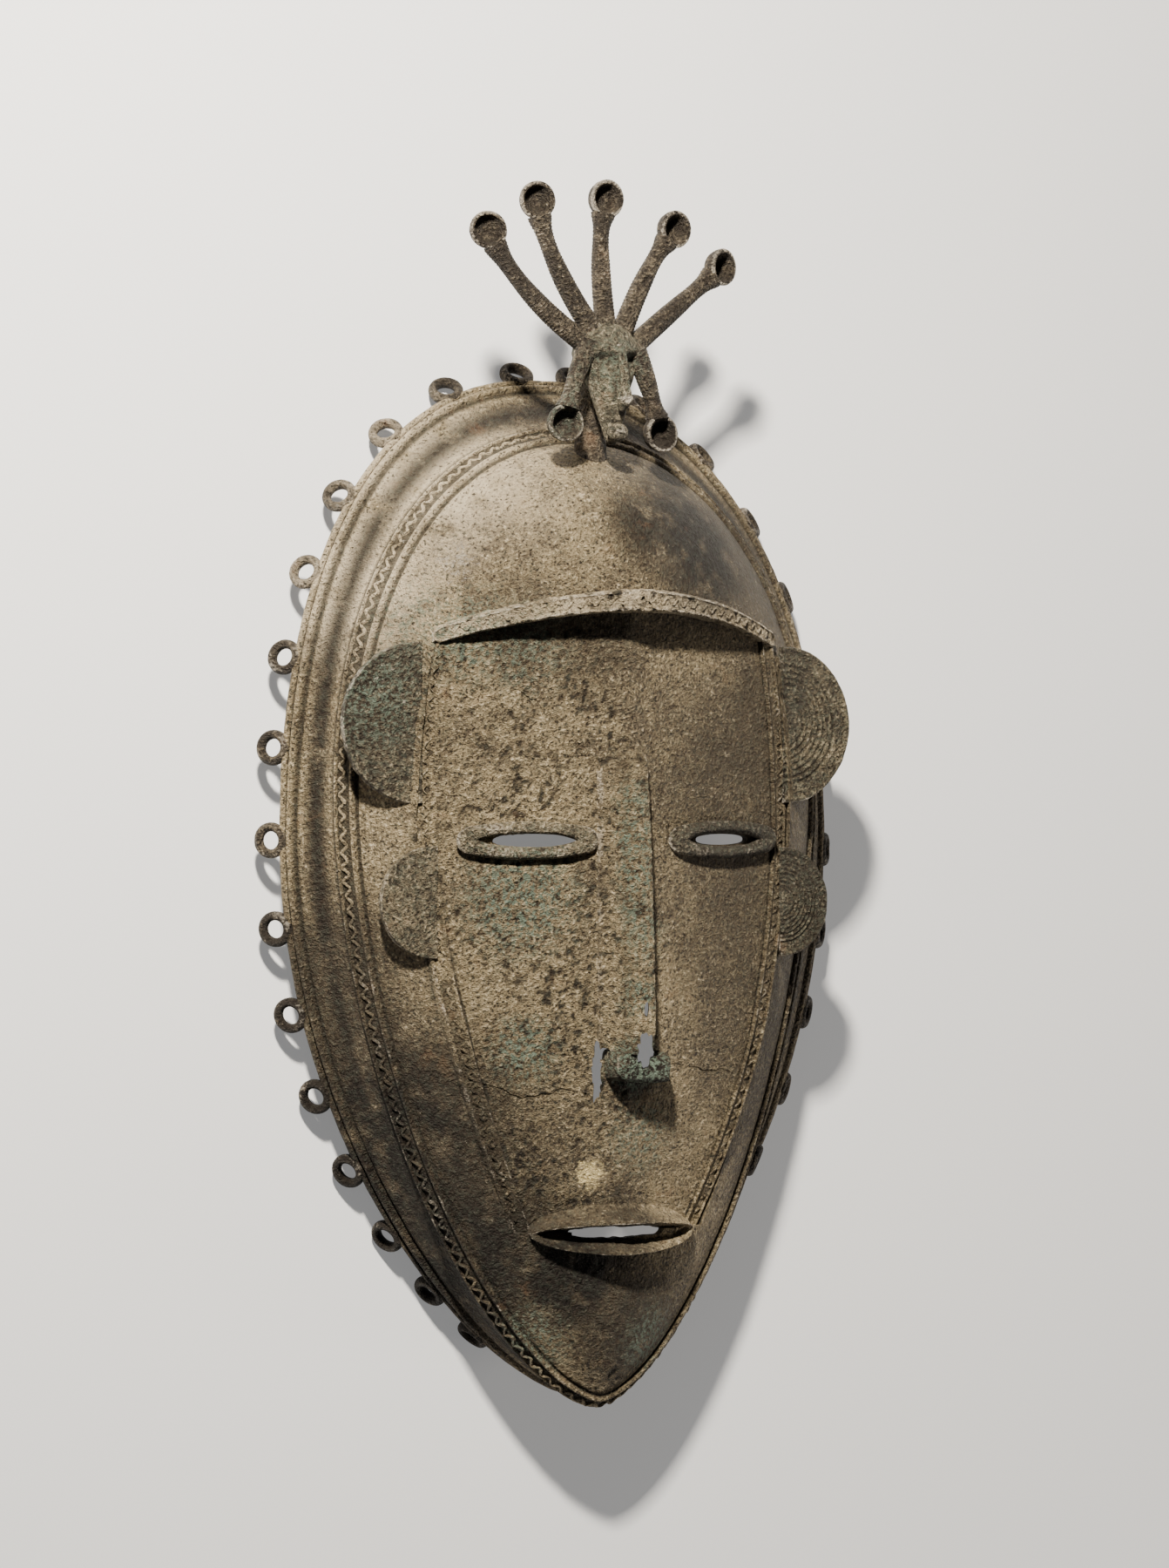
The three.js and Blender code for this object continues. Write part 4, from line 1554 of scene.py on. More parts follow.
@dataclass
class Crest:
    """The small long-faced head on its strut, with its rods and cups.

    Args:
        head: Y, half width, front and back of the head's sections.
        dents: X, Y, depth, half width and half height of its sockets and cheeks, and its lids
            with a depth below 0.
        nose: X, Y, height, half width and half thickness along the nose.
        strut: Y, height and radius of the strut's sections.
        rods: Root, bend, cup and height of each rod.
        rod_radii: Radius of a rod at its root and at its cup.
        winding: Pitch and depth of the ridges on the rods.
        cup_radius: Radius of a cup.
        cup_leans: How far each cup leans aside, in degrees.
        cup_sides: Points round a cup.
        rim_rings: First ring of a cup's rim and the one after its last.
    """

    head: Table = (
        (154.0, 0.8, 30.5, 27), (153.0, 4.4, 32.6, 24), (150.8, 7.4, 34.8, 22), (148, 9.2, 36.2, 21),
        (145, 10.0, 37.0, 21), (142, 9.0, 37.4, 21.5), (139, 7.5, 37.6, 23), (136, 6.3, 37.6, 25),
        (132, 5.1, 37.2, 26.5), (128, 4.0, 36.3, 28), (124, 3.0, 35.0, 30), (121, 2.1, 34.2, 31.2),
        (119.4, 0.9, 33.2, 31.8),
    )
    dents: Table = (
        (-4.4, 142.4, 3.4, 2.8, 2.2), (5.2, 142.4, 3.4, 2.6, 2.2), (-4.2, 135.5, 0.9, 2.2, 5.5),
        (4.8, 135.5, 0.9, 2.0, 5.5), (-4.6, 142.0, -1.5, 2.1, 1.0), (5.2, 142.0, -1.5, 1.9, 1.0),
    )
    nose: Table = (
        (0.4, 147.0, 36.8, 1.4, 1.2), (0.5, 143, 38.1, 1.1, 1.6), (0.5, 139.5, 38.8, 1.1, 1.8),
        (0.5, 135, 39.5, 1.3, 1.8), (0.5, 131.8, 39.5, 2.4, 2.1), (0.5, 129.2, 37.6, 1.2, 1.3),
    )
    strut: Table = (
        (143, 26, 5.5), (132, 21, 4.4), (118, 19.5, 4.6), (112, 20, 5.2), (108, 20, 5.9)
    )
    rods: Table = (
        (-7, 148, -25, 159, -37.5, 178, 30), (-4.5, 152, -17, 168, -22.1, 187, 30),
        (0, 152, -2.9, 173.5, 0, 188.5, 30), (5, 151, 12.1, 168.5, 22.1, 181, 30),
        (8, 147, 24.8, 161, 37.5, 171, 30), (-6.5, 148, -11.5, 138, -14.9, 125, 33),
        (8, 146, 12.5, 136, 15.7, 123, 33),
    )
    rod_radii: Pair = (3.1, 2.5)
    winding: Pair = (1.0, 0.034)
    cup_radius: float = 5.4
    cup_leans: tuple[float, ...] = (-14, -8, 3, 12, 22, -4, 8)
    cup_sides: int = 48
    rim_rings: tuple[int, int] = (5, 8)

    def skull(self) -> Piece:
        """The skull with its sockets and its brow.

        Returns:
            The skull.
        """
        y, half, front, back = drawn_out(self.head, 110)
        turn = circle(72)
        rings = np.zeros((len(y), len(turn), 3))
        rings[..., 0] = half[:, None] * signed_power(np.cos(turn), 0.9)
        rings[..., 1] = y[:, None]
        rings[..., 2] = ((front + back) / 2)[:, None] + ((front - back) / 2)[:, None] * np.sin(turn)
        for x, at, deep, wide, high in self.dents:
            away = ((rings[..., 0] - x) / wide) ** 2 + ((rings[..., 1] - at) / high) ** 2
            rings[..., 2] -= deep * np.exp(-away) * (np.sin(turn) > 0.05)
        brow = bell(rings[..., 1] - 146.2, 1.5) * np.clip(np.sin(turn), 0, 1)
        rings[..., 2] += 0.7 * brow
        return skin("crest-head", rings)

    def face(self) -> list[Piece]:
        """The long nose and the ball of the mouth.

        Returns:
            The nose and the mouth.
        """
        fine = np.linspace(0, 5, 40)
        known = np.array(self.nose).T
        nose = np.column_stack([np.interp(fine, range(6), part) for part in known])
        turn = np.linspace(-math.pi / 2, math.pi / 2, 15)
        path = np.column_stack([0 * turn - 0.3, 122.6 - 2.7 * np.sin(turn), 36.6 + 0 * turn])
        size = np.column_stack([2.9 * np.cos(turn) + 0.1, 2.7 * np.cos(turn) + 0.1])
        return [
            skin("crest-nose", tube_rings(nose[:, :3], nose[:, 3:], 20)),
            skin("crest-mouth", tube_rings(path, size, 24)),
        ]

    def head_piece(self) -> Piece:
        """The head with painted shade in its low places.

        Returns:
            The head as one piece.
        """
        head = cut(self.skull(), self.face(), Cut.WITH)
        x, y, z = coordinates(head.data).T
        # Painted shade in the sockets, beside the nose, under its tip and above and below the mouth
        low = sum(np.exp(-(((x - at) / 2.6) ** 2) - ((y - 143.4) / 1.5) ** 2) for at in (-4.6, 5.2))
        low += 0.8 * bell(np.abs(x - 0.5) - 2.0, 0.7) * ((y > 132) & (y < 145)) * (z < 39.4)
        low += bell(y - 128.2, 0.8) * (np.abs(x) < 3) + 0.9 * bell(y - 125.9, 0.6) * (np.abs(x) < 3.4)
        low += 0.9 * bell(y - 119.8, 0.7)
        store(head.data, "groove", low * (z > 31))
        return head

    def strut_piece(self, space: Piece) -> Piece:
        """The strut behind the head."""
        y, z, radius = drawn_out(self.strut, 60)
        rings = tube_rings(np.column_stack([0 * y, y, z]), np.column_stack([radius, radius]), 28)
        return cut(skin("crest-strut", rings), [space])

    def wound_rods(self, finish: Material) -> Piece:
        """The rods with their wound ridges as one mesh.

        Args:
            finish: Their material.

        Returns:
            The rods.
        """
        points, edges, thick = [], [], []
        share = np.linspace(0, 1, 40)[:, None]
        along = share[:, 0]
        for x0, y0, x1, y1, x2, y2, height in self.rods:
            root, bend, cup = (np.array((x, y, height - 1.0)) for x, y in ((x0, y0), (x1, y1), (x2, y2)))
            stop = cup + (bend - cup) / np.linalg.norm(bend - cup) * (self.cup_radius - 1)
            start = len(points)
            points += list(root * (1 - share) ** 2 + bend * 2 * share * (1 - share) + stop * share**2)
            edges += [(start + i, start + i + 1) for i in range(len(share) - 1)]
            flare = 0.95 * bell(along - 1, 0.1) - 0.3 * bell(along - 0.7, 0.18)
            first, last = self.rod_radii
            thick += list(first + (last - first) * along**0.7 + flare)
        seed = traced("crest-rods", points, edges, thick=np.array(thick))
        pitch, ridge = self.winding
        recipe = Recipe("Wound rods", Pitch=pitch, Ridge=ridge, Step=pitch / 4.5)
        line = recipe.node("GeometryNodeMeshToCurve", None, {"Mesh": recipe.start})
        line = recipe.resampled(line, recipe.given("Step"))
        length = recipe.node("GeometryNodeSplineParameter", out="Length")
        patchy = recipe.noise(recipe.node("GeometryNodeInputPosition"), 0.25, 2).between(0.3, 0.6)
        turn = length * (2 * math.pi) / recipe.given("Pitch")
        wave = turn.math("SINE", turn) * recipe.given("Ridge") * (patchy * 0.7 + 0.3)
        size = recipe.attribute("thick", "FLOAT") * (wave + 1)
        recipe.close(recipe.swept(line, recipe.ring(18, 1.0), size), finish)
        return recipe.grow(seed)

    def cup(self, number: int) -> tuple[Piece, Points]:
        """One cup, open towards the viewer.

        Args:
            number: The number of its rod.

        Returns:
            The cup, and how much each of its points is worn.
        """
        x, y, height = self.rods[number][4:]
        radius, inside = self.cup_radius, self.cup_radius - 1.3
        profile = [
            (0.2, -5.2), (2.4, -5.1), (radius * 0.66, -4.75), (radius * 0.86, -3.6), (radius * 0.97, -1.9),
            (radius, -0.5), (radius - 0.2, -0.12), (radius - 0.62, 0), (inside + 0.1, -0.16),
            (inside - 0.15, -0.8), (inside * 0.82, -2.1), (inside * 0.5, -3.1), (0.2, -3.4),
        ]
        turn = circle(self.cup_sides)
        wobble = 1 - 0.03 * (1 + np.sin(2 * turn + number)) / 2
        lean = Matrix.Rotation(math.radians(self.cup_leans[number]), 3, "Y")
        place = (x, y, height + 1.0 if number > 4 else height + 0.6)
        made = skin(f"crest-cup.{number}", lathed(profile, turn, wobble) @ np.array(lean).T + place)
        worn = np.full(len(made.data.vertices), 0.1)
        worn[slice(*(ring * self.cup_sides for ring in self.rim_rings))] = 0.5
        return made, worn


# Finish of the metal


@dataclass(frozen=True)
class CastSkin:
    """Relief of the cast surface: a soft unevenness, a grain and pits.

    Args:
        swell: Height and size of the unevenness, in millimetres.
        grain: Height and size of the grain.
        pits: Depth and size of the pits.
    """

    swell: Pair = (0.34, 8.0)
    grain: Pair = (0.4, 1.3)
    pits: Pair = (0.32, 2.4)

    def work(self, piece: Piece, pitted: Points, finish: Material) -> Piece:
        """Moves the skin of a piece in and out.

        Args:
            piece: The piece, in millimetres. It is removed.
            pitted: How much of the relief each vertex takes.
            finish: The material of the result.

        Returns:
            The new piece.
        """
        store(piece.data, "pitted", pitted)
        recipe = Recipe("Cast skin", Swell=self.swell[0], Grain=self.grain[0], Pits=self.pits[0])
        place = recipe.node("GeometryNodeInputPosition")
        swell = (recipe.noise(place, 1 / self.swell[1], 1) - 0.5) * 2 * recipe.given("Swell")
        grain = (recipe.noise(place, 1 / self.grain[1], 2) - 0.5) * 2 * recipe.given("Grain")
        pits = recipe.noise(place, 1 / self.pits[1], 2).between(0.5, 0.36) * recipe.given("Pits")
        amount = recipe.attribute("pitted", "FLOAT")
        relief = (grain - pits) * amount
        height = (swell + relief) * amount.math("MINIMUM", amount * 4, 1.0)
        offset = recipe.vector("SCALE", recipe.node("GeometryNodeInputNormal"), Scale=height)
        settings = {"data_type": "FLOAT", "domain": "POINT"}
        values = {"Geometry": recipe.start, "Name": "relief", "Value": relief}
        kept = recipe.node("GeometryNodeStoreNamedAttribute", settings, values)
        moved = recipe.node("GeometryNodeSetPosition", None, {"Geometry": kept, "Offset": offset})
        recipe.close(moved, finish)
        return recipe.grow(piece)


Colour = tuple[float, float, float, float]
Spots = tuple[tuple[Triple, float, float], ...]


@dataclass(frozen=True)
class Patina:
    """An old brown patina with khaki earth, green copper salts and worn high places, with painted shade in
    its low places and painted light on its high ones.

    Args:
        name: The material's name.
        light: Colour of the khaki skin.
        brown: Colour of the middle tone.
        sand_and_highlight: Colour of the loose grains on it, and of painted highlights on the tops of its
            grain.
        dark: Colour of sooty patina and of painted shade in low places.
        green: Colour of the copper salts.
        worn: Colour of worn high places, and of a painted highlight on the upper left of the flange.
        pale: Colour of the pale earth, also used for painted light on the upper left of the flange.
        rust: Colour of the reddish clouds.
        bare: Colour of the one spot beside the mouth that is worn bare.
        earth: How much of the khaki skin lies on the brown.
        shine: How much the high places are worn.
        copper: How much green lies all over.
        greens: Middle, size and strength of the green places, on the lying mask in millimetres.
        soots_and_shade: The same for the dark places: sooty patina, and painted shade on the lower left,
            below the lips and on the right of the forehead.
        pale_and_lit_spots: The same for the pale earth, with painted light on the upper left of the flange.
    """

    name: str = "brown patina"
    light: Colour = (0.27, 0.208, 0.118, 1)
    brown: Colour = (0.084, 0.062, 0.038, 1)
    sand_and_highlight: Colour = (0.6, 0.49, 0.33, 1)
    dark: Colour = (0.012, 0.0078, 0.0048, 1)
    green: Colour = (0.12, 0.152, 0.112, 1)
    worn: Colour = (0.60, 0.53, 0.43, 1)
    pale: Colour = (0.64, 0.53, 0.37, 1)
    rust: Colour = (0.15, 0.068, 0.03, 1)
    bare: Colour = (0.62, 0.5, 0.27, 1)
    earth: float = 0.6
    shine: float = 0.5
    copper: float = 0.1
    greens: Spots = (
        ((-31, -29, 48), 15, 1.0), ((-30, -71, 46), 9, 1.0), ((-45, 43, 47), 12, 0.7),
        ((6, -96, 47), 10, 0.8), ((-23, -153, 32), 10, 0.8), ((13, -153, 34), 9, 1.0),
        ((-73, 27, 50), 15, 0.7), ((4, -40, 60), 9, 0.7), ((-1, -3, 61), 6, 0.7), ((-1, -13, 61), 6, 1.0),
        ((-1, -23, 61), 6, 1.0), ((-1, -33, 60), 6, 0.7), ((0, -57, 59), 6, 0.8), ((1, -77, 56), 9, 1.3),
        ((0, 118, 55), 10, 0.45), ((-20, 108, 60), 16, 0.5), ((-60, 50, 40), 12, 0.5),
        ((0, 120, 48), 10, 0.6), ((-30, 40, 52), 12, 0.5),
    )
    # Dark places: sooty patina, and painted shade on the lower left, below the lips and on the right of the
    # forehead
    soots_and_shade: Spots = (
        ((-62, -95, 20), 40, 1.1), ((-40, -128, 22), 32, 1.1), ((-14, -133, 38), 18, 1.2),
        ((4, -150, 36), 18, 0.8), ((28, 74, 60), 28, 1.2), ((6, 76, 64), 16, 1.0), ((34, 96, 52), 22, 1.0),
        ((36, 0, 50), 30, 0.5), ((-30, 46, 48), 14, 0.6), ((60, -40, 30), 46, 0.5),
        ((-75, -50, 20), 22, 0.7), ((2, -78, 55), 9, 1.3), ((0, -122, 46), 12, 0.7),
        ((42, 20, 48), 26, 0.45), ((-73, 27, 50), 20, 0.7), ((-10, 42, 56), 16, 0.5), ((58, 70, 34), 30, 0.6),
    )
    # Pale earth, and painted light on the upper left of the flange
    pale_and_lit_spots: Spots = (((-50, 98, 29), 30, 1.0), ((-73, 64, 27), 24, 0.9), ((-34, 88, 58), 18, 0.3))

    def spots(self, graph: Graph, place: Wire, spots: Spots) -> Wire:
        """Soft round places.

        Args:
            graph: The material's tree.
            place: Places in millimetres.
            spots: Middle, size and strength of each.

        Returns:
            The strength at a place.
        """
        total: Wire | None = None
        for middle, size, strength in spots:
            away = graph.vector("DISTANCE", place, middle)
            spot = away.between(size * 1.5, size * 0.3) * strength
            total = spot if total is None else total.either(spot)
        return total

    def blend(self, graph: Graph, share: Wire | float, low: Wire | Colour, high: Wire | Colour) -> Wire:
        """A colour between two colours."""
        settings = {"data_type": "RGBA", "clamp_factor": True}
        return graph.node("ShaderNodeMix", settings, {0: share, 6: low, 7: high}, 2)

    def material(self) -> Material:
        """Makes the material, in Object coordinates.

        Returns:
            The material.
        """
        made = bpy.data.materials.new(self.name)
        made.use_nodes = True
        made.node_tree.nodes.clear()
        graph = Graph(made.node_tree)
        metres = graph.node("ShaderNodeTexCoord", out="Object")
        place = graph.vector("SCALE", metres, Scale=1 / MILLIMETRE)
        raised, stain, relief, groove, dust = (
            graph.node("ShaderNodeAttribute", {"attribute_name": name}, None, "Fac")
            for name in ("raised", "stain", "relief", "groove", "dust")
        )
        corner = graph.node("ShaderNodeNewGeometry", out="Pointiness")
        clouds, blotch = graph.noise(place, 0.03, 4), graph.noise(place, 0.13, 4, 0.6)
        speck, grain = graph.noise(place, 0.6, 4, 0.6), graph.noise(place, 1.15, 2, 0.6)
        fleck = graph.noise(graph.vector("ADD", place, (31.0, 7.0, 3.0)), 0.8, 3, 0.6)
        grit = graph.noise(place, 2.4, 3, 0.7)
        cloud_swing, blotch_swing, speck_swing, grain_swing, fleck_swing, grit_swing = (
            noise - 0.5 for noise in (clouds, blotch, speck, grain, fleck, grit)
        )

        # Earth: khaki skin on brown and pale dust, with painted light on the high grain and on the upper left
        # of the flange
        patchy = blotch.between(0.25, 0.55)
        # Sooty patina, with painted shade where the dark spots lie on the lower left, below the lips and on
        # the right of the forehead
        soot_and_shade = self.spots(graph, place, self.soots_and_shade) * (patchy * 0.85 + 0.15)
        soot_and_shade = soot_and_shade.either(stain * blotch.between(0.22, 0.5))
        earth = cloud_swing * 1.7 + blotch_swing * 1.5 + speck_swing * 1.2 + grain_swing * 1.2
        earth = earth + grit_swing * 1.3 + self.earth
        # Pale earth from the dust and from the spots, which are painted light on the upper left of the flange
        pale = (self.spots(graph, place, self.pale_and_lit_spots) * (self.earth * 1.5)).either(dust)
        # Painted light: the high places of the relief are made lighter
        earth = (earth - soot_and_shade * 0.65 + relief * 1.1 + pale * 0.5).between(0.0, 1.05)
        colour = self.blend(graph, earth, self.brown, self.light)
        colour = self.blend(graph, pale * patchy * 0.85, colour, self.pale)
        # Loose grains, with painted highlights on the high places of the relief
        sand_and_highlight = (relief * 1.6 + grain_swing * 3.0 + speck_swing * 2.2 + cloud_swing).between(0.2, 0.85)
        colour = self.blend(graph, sand_and_highlight * (1 - soot_and_shade) * self.earth, colour, self.sand_and_highlight)

        # Sooty patina and painted shade in the low places, rust and copper salts
        # Painted shade: darker in the pits of the relief, in hollow corners and along the stored grooves; the
        # dark grain is the patina's own
        low = (relief.between(-0.03, -0.34) * 0.9).either(grain.between(0.45, 0.32) * 0.85)
        low = low.either(soot_and_shade * 0.92).either(corner.between(0.485, 0.44) * 0.85)
        low = low.either(groove * (speck * 0.7 + 0.45))
        colour = self.blend(graph, low, colour, self.dark)
        rust = blotch.between(0.57, 0.72) * clouds.between(0.45, 0.62) * 0.3
        colour = self.blend(graph, rust, colour, self.rust)
        salts = self.spots(graph, place, self.greens) * 0.85 + self.copper
        salts = (fleck.between(0.48, 0.58) * 0.85 + speck.between(0.5, 0.62) * 0.35) * salts
        colour = self.blend(graph, salts, colour, self.green)

        # Worn high places, worn spots, and a painted highlight in patches over the upper left of the flange
        wear_and_highlight = raised * 1.1 + corner.between(0.505, 0.56) * 0.6 + grain_swing * 1.2 + blotch_swing * 1.8
        wear_and_highlight = wear_and_highlight.between(0.8, 1.35) * self.shine
        glint = grain.between(0.68, 0.78) * speck.between(0.5, 0.6) * 0.5
        bright = graph.vector("DISTANCE", place, (-50.0, 66.8, 46.0)) + fleck_swing * 26
        wear_and_highlight = wear_and_highlight.either(bright.between(8, 3) * 0.6).either(glint)
        # Painted highlight in patches over the upper left of the flange
        painted_highlight = graph.vector("DISTANCE", place, (-53.0, 76.0, 27.0)).between(30, 12)
        wear_and_highlight = wear_and_highlight.either((raised + fleck_swing).between(0.25, 0.5) * painted_highlight * 0.8)
        colour = self.blend(graph, wear_and_highlight, colour, self.worn)
        bare = graph.vector("DISTANCE", place, (-9.0, -105.7, 43.6)) + speck_swing * 9
        bare = bare.between(4.4, 2.4)
        colour = self.blend(graph, bare, colour, self.bare)

        height = grain * 0.7 + speck * 0.8 + blotch * 0.5 + grit * 0.3 - fleck.between(0.42, 0.3) * 0.35
        values = {"Strength": 1.0, "Distance": 0.0022, "Height": height}
        shader = graph.node("ShaderNodeBsdfPrincipled", None, {
            "Base Color": colour,
            "Metallic": wear_and_highlight.either(bare) * 0.75 + 0.22,
            "Roughness": grain_swing * 0.3 + 0.56 - wear_and_highlight * 0.2 - bare * 0.2 + soot_and_shade * 0.04,
            "Normal": graph.node("ShaderNodeBump", None, values),
            "IOR": 1.45,
            "Specular IOR Level": 0.3,
        })
        graph.node("ShaderNodeOutputMaterial", None, {"Surface": shader})
        return made


@dataclass
class Studio:
    """A pale floor, soft light and the camera at the photograph's angle.

    Args:
        side_angle: How far the camera stands to the left of the mask, in degrees.
        target: Where it looks on the upright mask, in millimetres.
        distance: Its distance in metres.
        lens: Its focal length.
        sensor_height: Height of its sensor in millimetres.
        floor_size: Side of the floor in metres.
    """

    side_angle: float = 28.0
    target: Triple = (0, 24.6, 16.3)
    distance: float = 1.5
    lens: float = 122.0
    sensor_height: float = 36
    floor_size: float = 6.0

    def floor(self) -> Piece:
        """Makes the floor, which glows a little.

        Returns:
            The floor.
        """
        half = self.floor_size / 2
        mesh = bpy.data.meshes.new("floor")
        corners = [(x * half, y * half, 0) for x, y in ((-1, -1), (1, -1), (1, 1), (-1, 1))]
        mesh.from_pydata(corners, [], [(0, 1, 2, 3)])
        paint = bpy.data.materials.new("pale floor")
        paint.use_nodes = True
        values = {"Base Color": (0.62, 0.61, 0.6, 1), "Roughness": 0.85}
        values |= {"Emission Color": (1, 1, 1, 1), "Emission Strength": 0.22}
        for name, value in values.items():
            paint.node_tree.nodes["Principled BSDF"].inputs[name].default_value = value
        mesh.materials.append(paint)
        return linked("floor", mesh)

    def camera(self) -> None:
        """Sets the scene's camera."""
        turn = math.radians(self.side_angle)
        back = Vector((-math.sin(turn), 0, math.cos(turn)))
        right = Vector((0, 1, 0)).cross(back).normalized()
        matrix = Matrix((right, back.cross(right), back)).transposed().to_4x4()
        matrix.translation = Vector(self.target) * MILLIMETRE + back * self.distance
        data = bpy.data.cameras.new("camera")
        data.sensor_fit, data.sensor_height, data.lens = "VERTICAL", self.sensor_height, self.lens
        camera = linked("camera", data)
        camera.matrix_world = REST.matrix() @ matrix
        bpy.context.scene.camera = camera

    def lamp(
        self, name: str, place: Sequence[float], size: float, power: float, tint: Sequence[float]
    ) -> None:
        """Adds a square soft lamp that faces the mask.

        Args:
            name: Its name.
            place: Where it stands, in metres.
            size: Length of its side.
            power: Its power in watts.
            tint: Its colour.
        """
        data = bpy.data.lights.new(name, "AREA")
        data.size, data.energy, data.color = size, power, tint
        lamp = linked(name, data)
        lamp.location = place
        lamp.rotation_euler = (-Vector(place)).to_track_quat("-Z", "Y").to_euler()

    def light(self) -> None:
        """The lamps and the even light around."""
        self.lamp("key", (-0.34, 0.5, 0.56), 0.06, 27, (1.0, 0.95, 0.86))
        self.lamp("fill", (-1.1, -0.1, 1.3), 1.2, 0.7, (0.9, 0.95, 1.0))
        self.lamp("edge", (1.1, -0.5, 0.3), 0.3, 5, (1.0, 0.93, 0.84))
        world = bpy.data.worlds.new("even light")
        world.use_nodes = True
        sky = world.node_tree.nodes["Background"]
        sky.inputs["Color"].default_value = (0.9, 0.92, 0.95, 1)
        sky.inputs["Strength"].default_value = 0.05
        bpy.context.scene.world = world


@dataclass
class Mask:
    """The whole mask, made of pieces that stand for the one casting.

    Args:
        patina: Finish of the shell and the face.
        crest_patina: Finish of the crest and the loops.
        lobe_patina: Finish of the ear lobes, the eye rims and the wings of the nose.
        head_patina: Finish of the small head.
        skin: Relief of the cast surface.
        dust: How much pale earth lies on some pieces.
    """

    patina: Patina = Patina()
    crest_patina: Patina = Patina(
        "dark patina", light=(0.115, 0.09, 0.06, 1), brown=(0.03, 0.023, 0.017, 1),
        sand_and_highlight=(0.3, 0.235, 0.15, 1), earth=0.3, shine=0.5, copper=0.03,
    )
    lobe_patina: Patina = Patina(
        "lobe patina", light=(0.21, 0.168, 0.103, 1), brown=(0.05, 0.04, 0.027, 1),
        earth=0.44, shine=0.55, copper=0.18,
    )
    head_patina: Patina = Patina(
        "head patina", light=(0.15, 0.127, 0.083, 1), brown=(0.05, 0.042, 0.029, 1),
        earth=0.4, shine=0.75, copper=0.06,
    )
    skin: CastSkin = CastSkin()
    dust: dict[str, float] = field(default_factory=lambda: {
        "brow": 0.5, "brow-zigzag": 0.5, "lips": 0.06, "band-zigzag": 0.15
    })

    def keep(self, piece: Piece, finish: Material, raised: Points | float = 0.0) -> None:
        """Args:
            piece: The piece in millimetres, upright.
            finish: Its material.
            raised: How much its vertices are worn.
        """
        mesh = piece.data
        laid = np.clip(REST.lay(coordinates(mesh)), *CAD_BOX)
        mesh.vertices.foreach_set("co", laid.ravel())
        store(mesh, "raised", np.broadcast_to(raised, (len(laid),)))
        store(mesh, "dust", np.full(len(laid), self.dust.get(piece.name, 0.0)))
        mesh.materials.clear()
        mesh.materials.append(finish)
        mesh.polygons.foreach_set("use_smooth", [True] * len(mesh.polygons))
        mesh.set_sharp_from_angle(angle=math.radians(50))
        mesh.update()
        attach(piece, "root")
        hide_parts(NODE)
        mesh.calc_loop_triangles()
        LOG.info("%s: %d triangles", piece.name, len(mesh.loop_triangles))

    def dress(self, piece: Piece, amount: float, finish: Material, raised: Points | float) -> None:
        """Gives a piece its cast skin and keeps it.

        Args:
            piece: The piece in millimetres, upright.
            amount: How much of the relief it takes.
            finish: Its material.
            raised: How much its vertices are worn.
        """
        pitted = np.full(len(piece.data.vertices), amount)
        self.keep(self.skin.work(piece, pitted, finish), finish, raised)

    def rough(self, points: Points) -> Points:
        """How pitted the casting is at some upright places.

        Args:
            points: The places in millimetres.

        Returns:
            A share of the full relief for each.
        """
        x, y, _ = points.T
        left = np.clip((14 - x) / 22, 0, 1)
        face = np.clip((FORM.brow_line(x) - y) / 4, 0, 1)
        face = face * np.clip((FORM.face_edge(y) + 6 - np.abs(x)) / 8, 0, 1)
        patches = 0.75 + 0.5 * smooth_noise(points, 16, 31)
        return np.clip((0.16 + face * (0.2 + 0.75 * left)) * patches, 0.03, 1.2)

    def space(self, form: Shell) -> Piece:
        """The hollow behind the whole casting, one wall under its outside."""
        over = face_slab("over", -FORM.wall, flat_at(90), over_face(-FORM.wall))
        under = face_slab("under", FORM.wall, over_face(-FORM.wall), flat_at(-60))
        return cut(cut(form.inside(), [over]), [under], Cut.WITH)

    def shell(self, form: Shell, space: Piece, face: Face, finish: Material) -> None:
        """Makes the shell with its stains, its worn cords, and painted shade in its grooves and along the
        foot of the face.

        Args:
            form: The shell's sizes.
            space: The hollow behind it.
            face: The face, whose slits and holes go through.
            finish: Its material.
        """
        outside, grid, shares, low = form.outside()
        recess = face_slab("recess", -0.3, flat_at(90), over_face(-0.5))
        body = cut(outside, [space, recess, *face.slits(), face.mouth_tool(), *face.hole_tools()])
        tree = KDTree(grid.shape[0] * grid.shape[1])
        for number, place in enumerate(grid.reshape(-1, 3)):
            tree.insert(place, number)
        tree.balance()
        points = coordinates(body.data)
        near = [tree.find(p) for p in points]
        index, away = np.array([n[1] for n in near]), np.array([n[2] for n in near])
        row = index // grid.shape[1]
        outer = away < 0.5
        share = shares.ravel()[index]
        stain = np.where(outer & (share > 0), np.sin(math.pi * np.clip(share, 0, 1)) ** 2, 0)
        cord = outer & np.any([(row >= first) & (row < end) for first, end in form.corded_rows], axis=0)
        worked = self.skin.work(body, np.where(cord, 0.12, self.rough(points)) * outer + 0.02, finish)
        store(worked.data, "stain", stain)
        x, y, _ = points.T
        # Painted shade along the foot of the face panel, stronger on the left, added to the grooves' shade
        foot = bell(np.abs(x) - FORM.face_edge(y) - 0.8, 0.9) * (np.abs(y + 66) < 44)
        foot *= np.where(x < 0, 1.0, 0.4)
        store(worked.data, "groove", (low.ravel()[index] + foot) * outer)
        self.keep(worked, finish, np.where(cord, 0.16, 0.1) * outer)

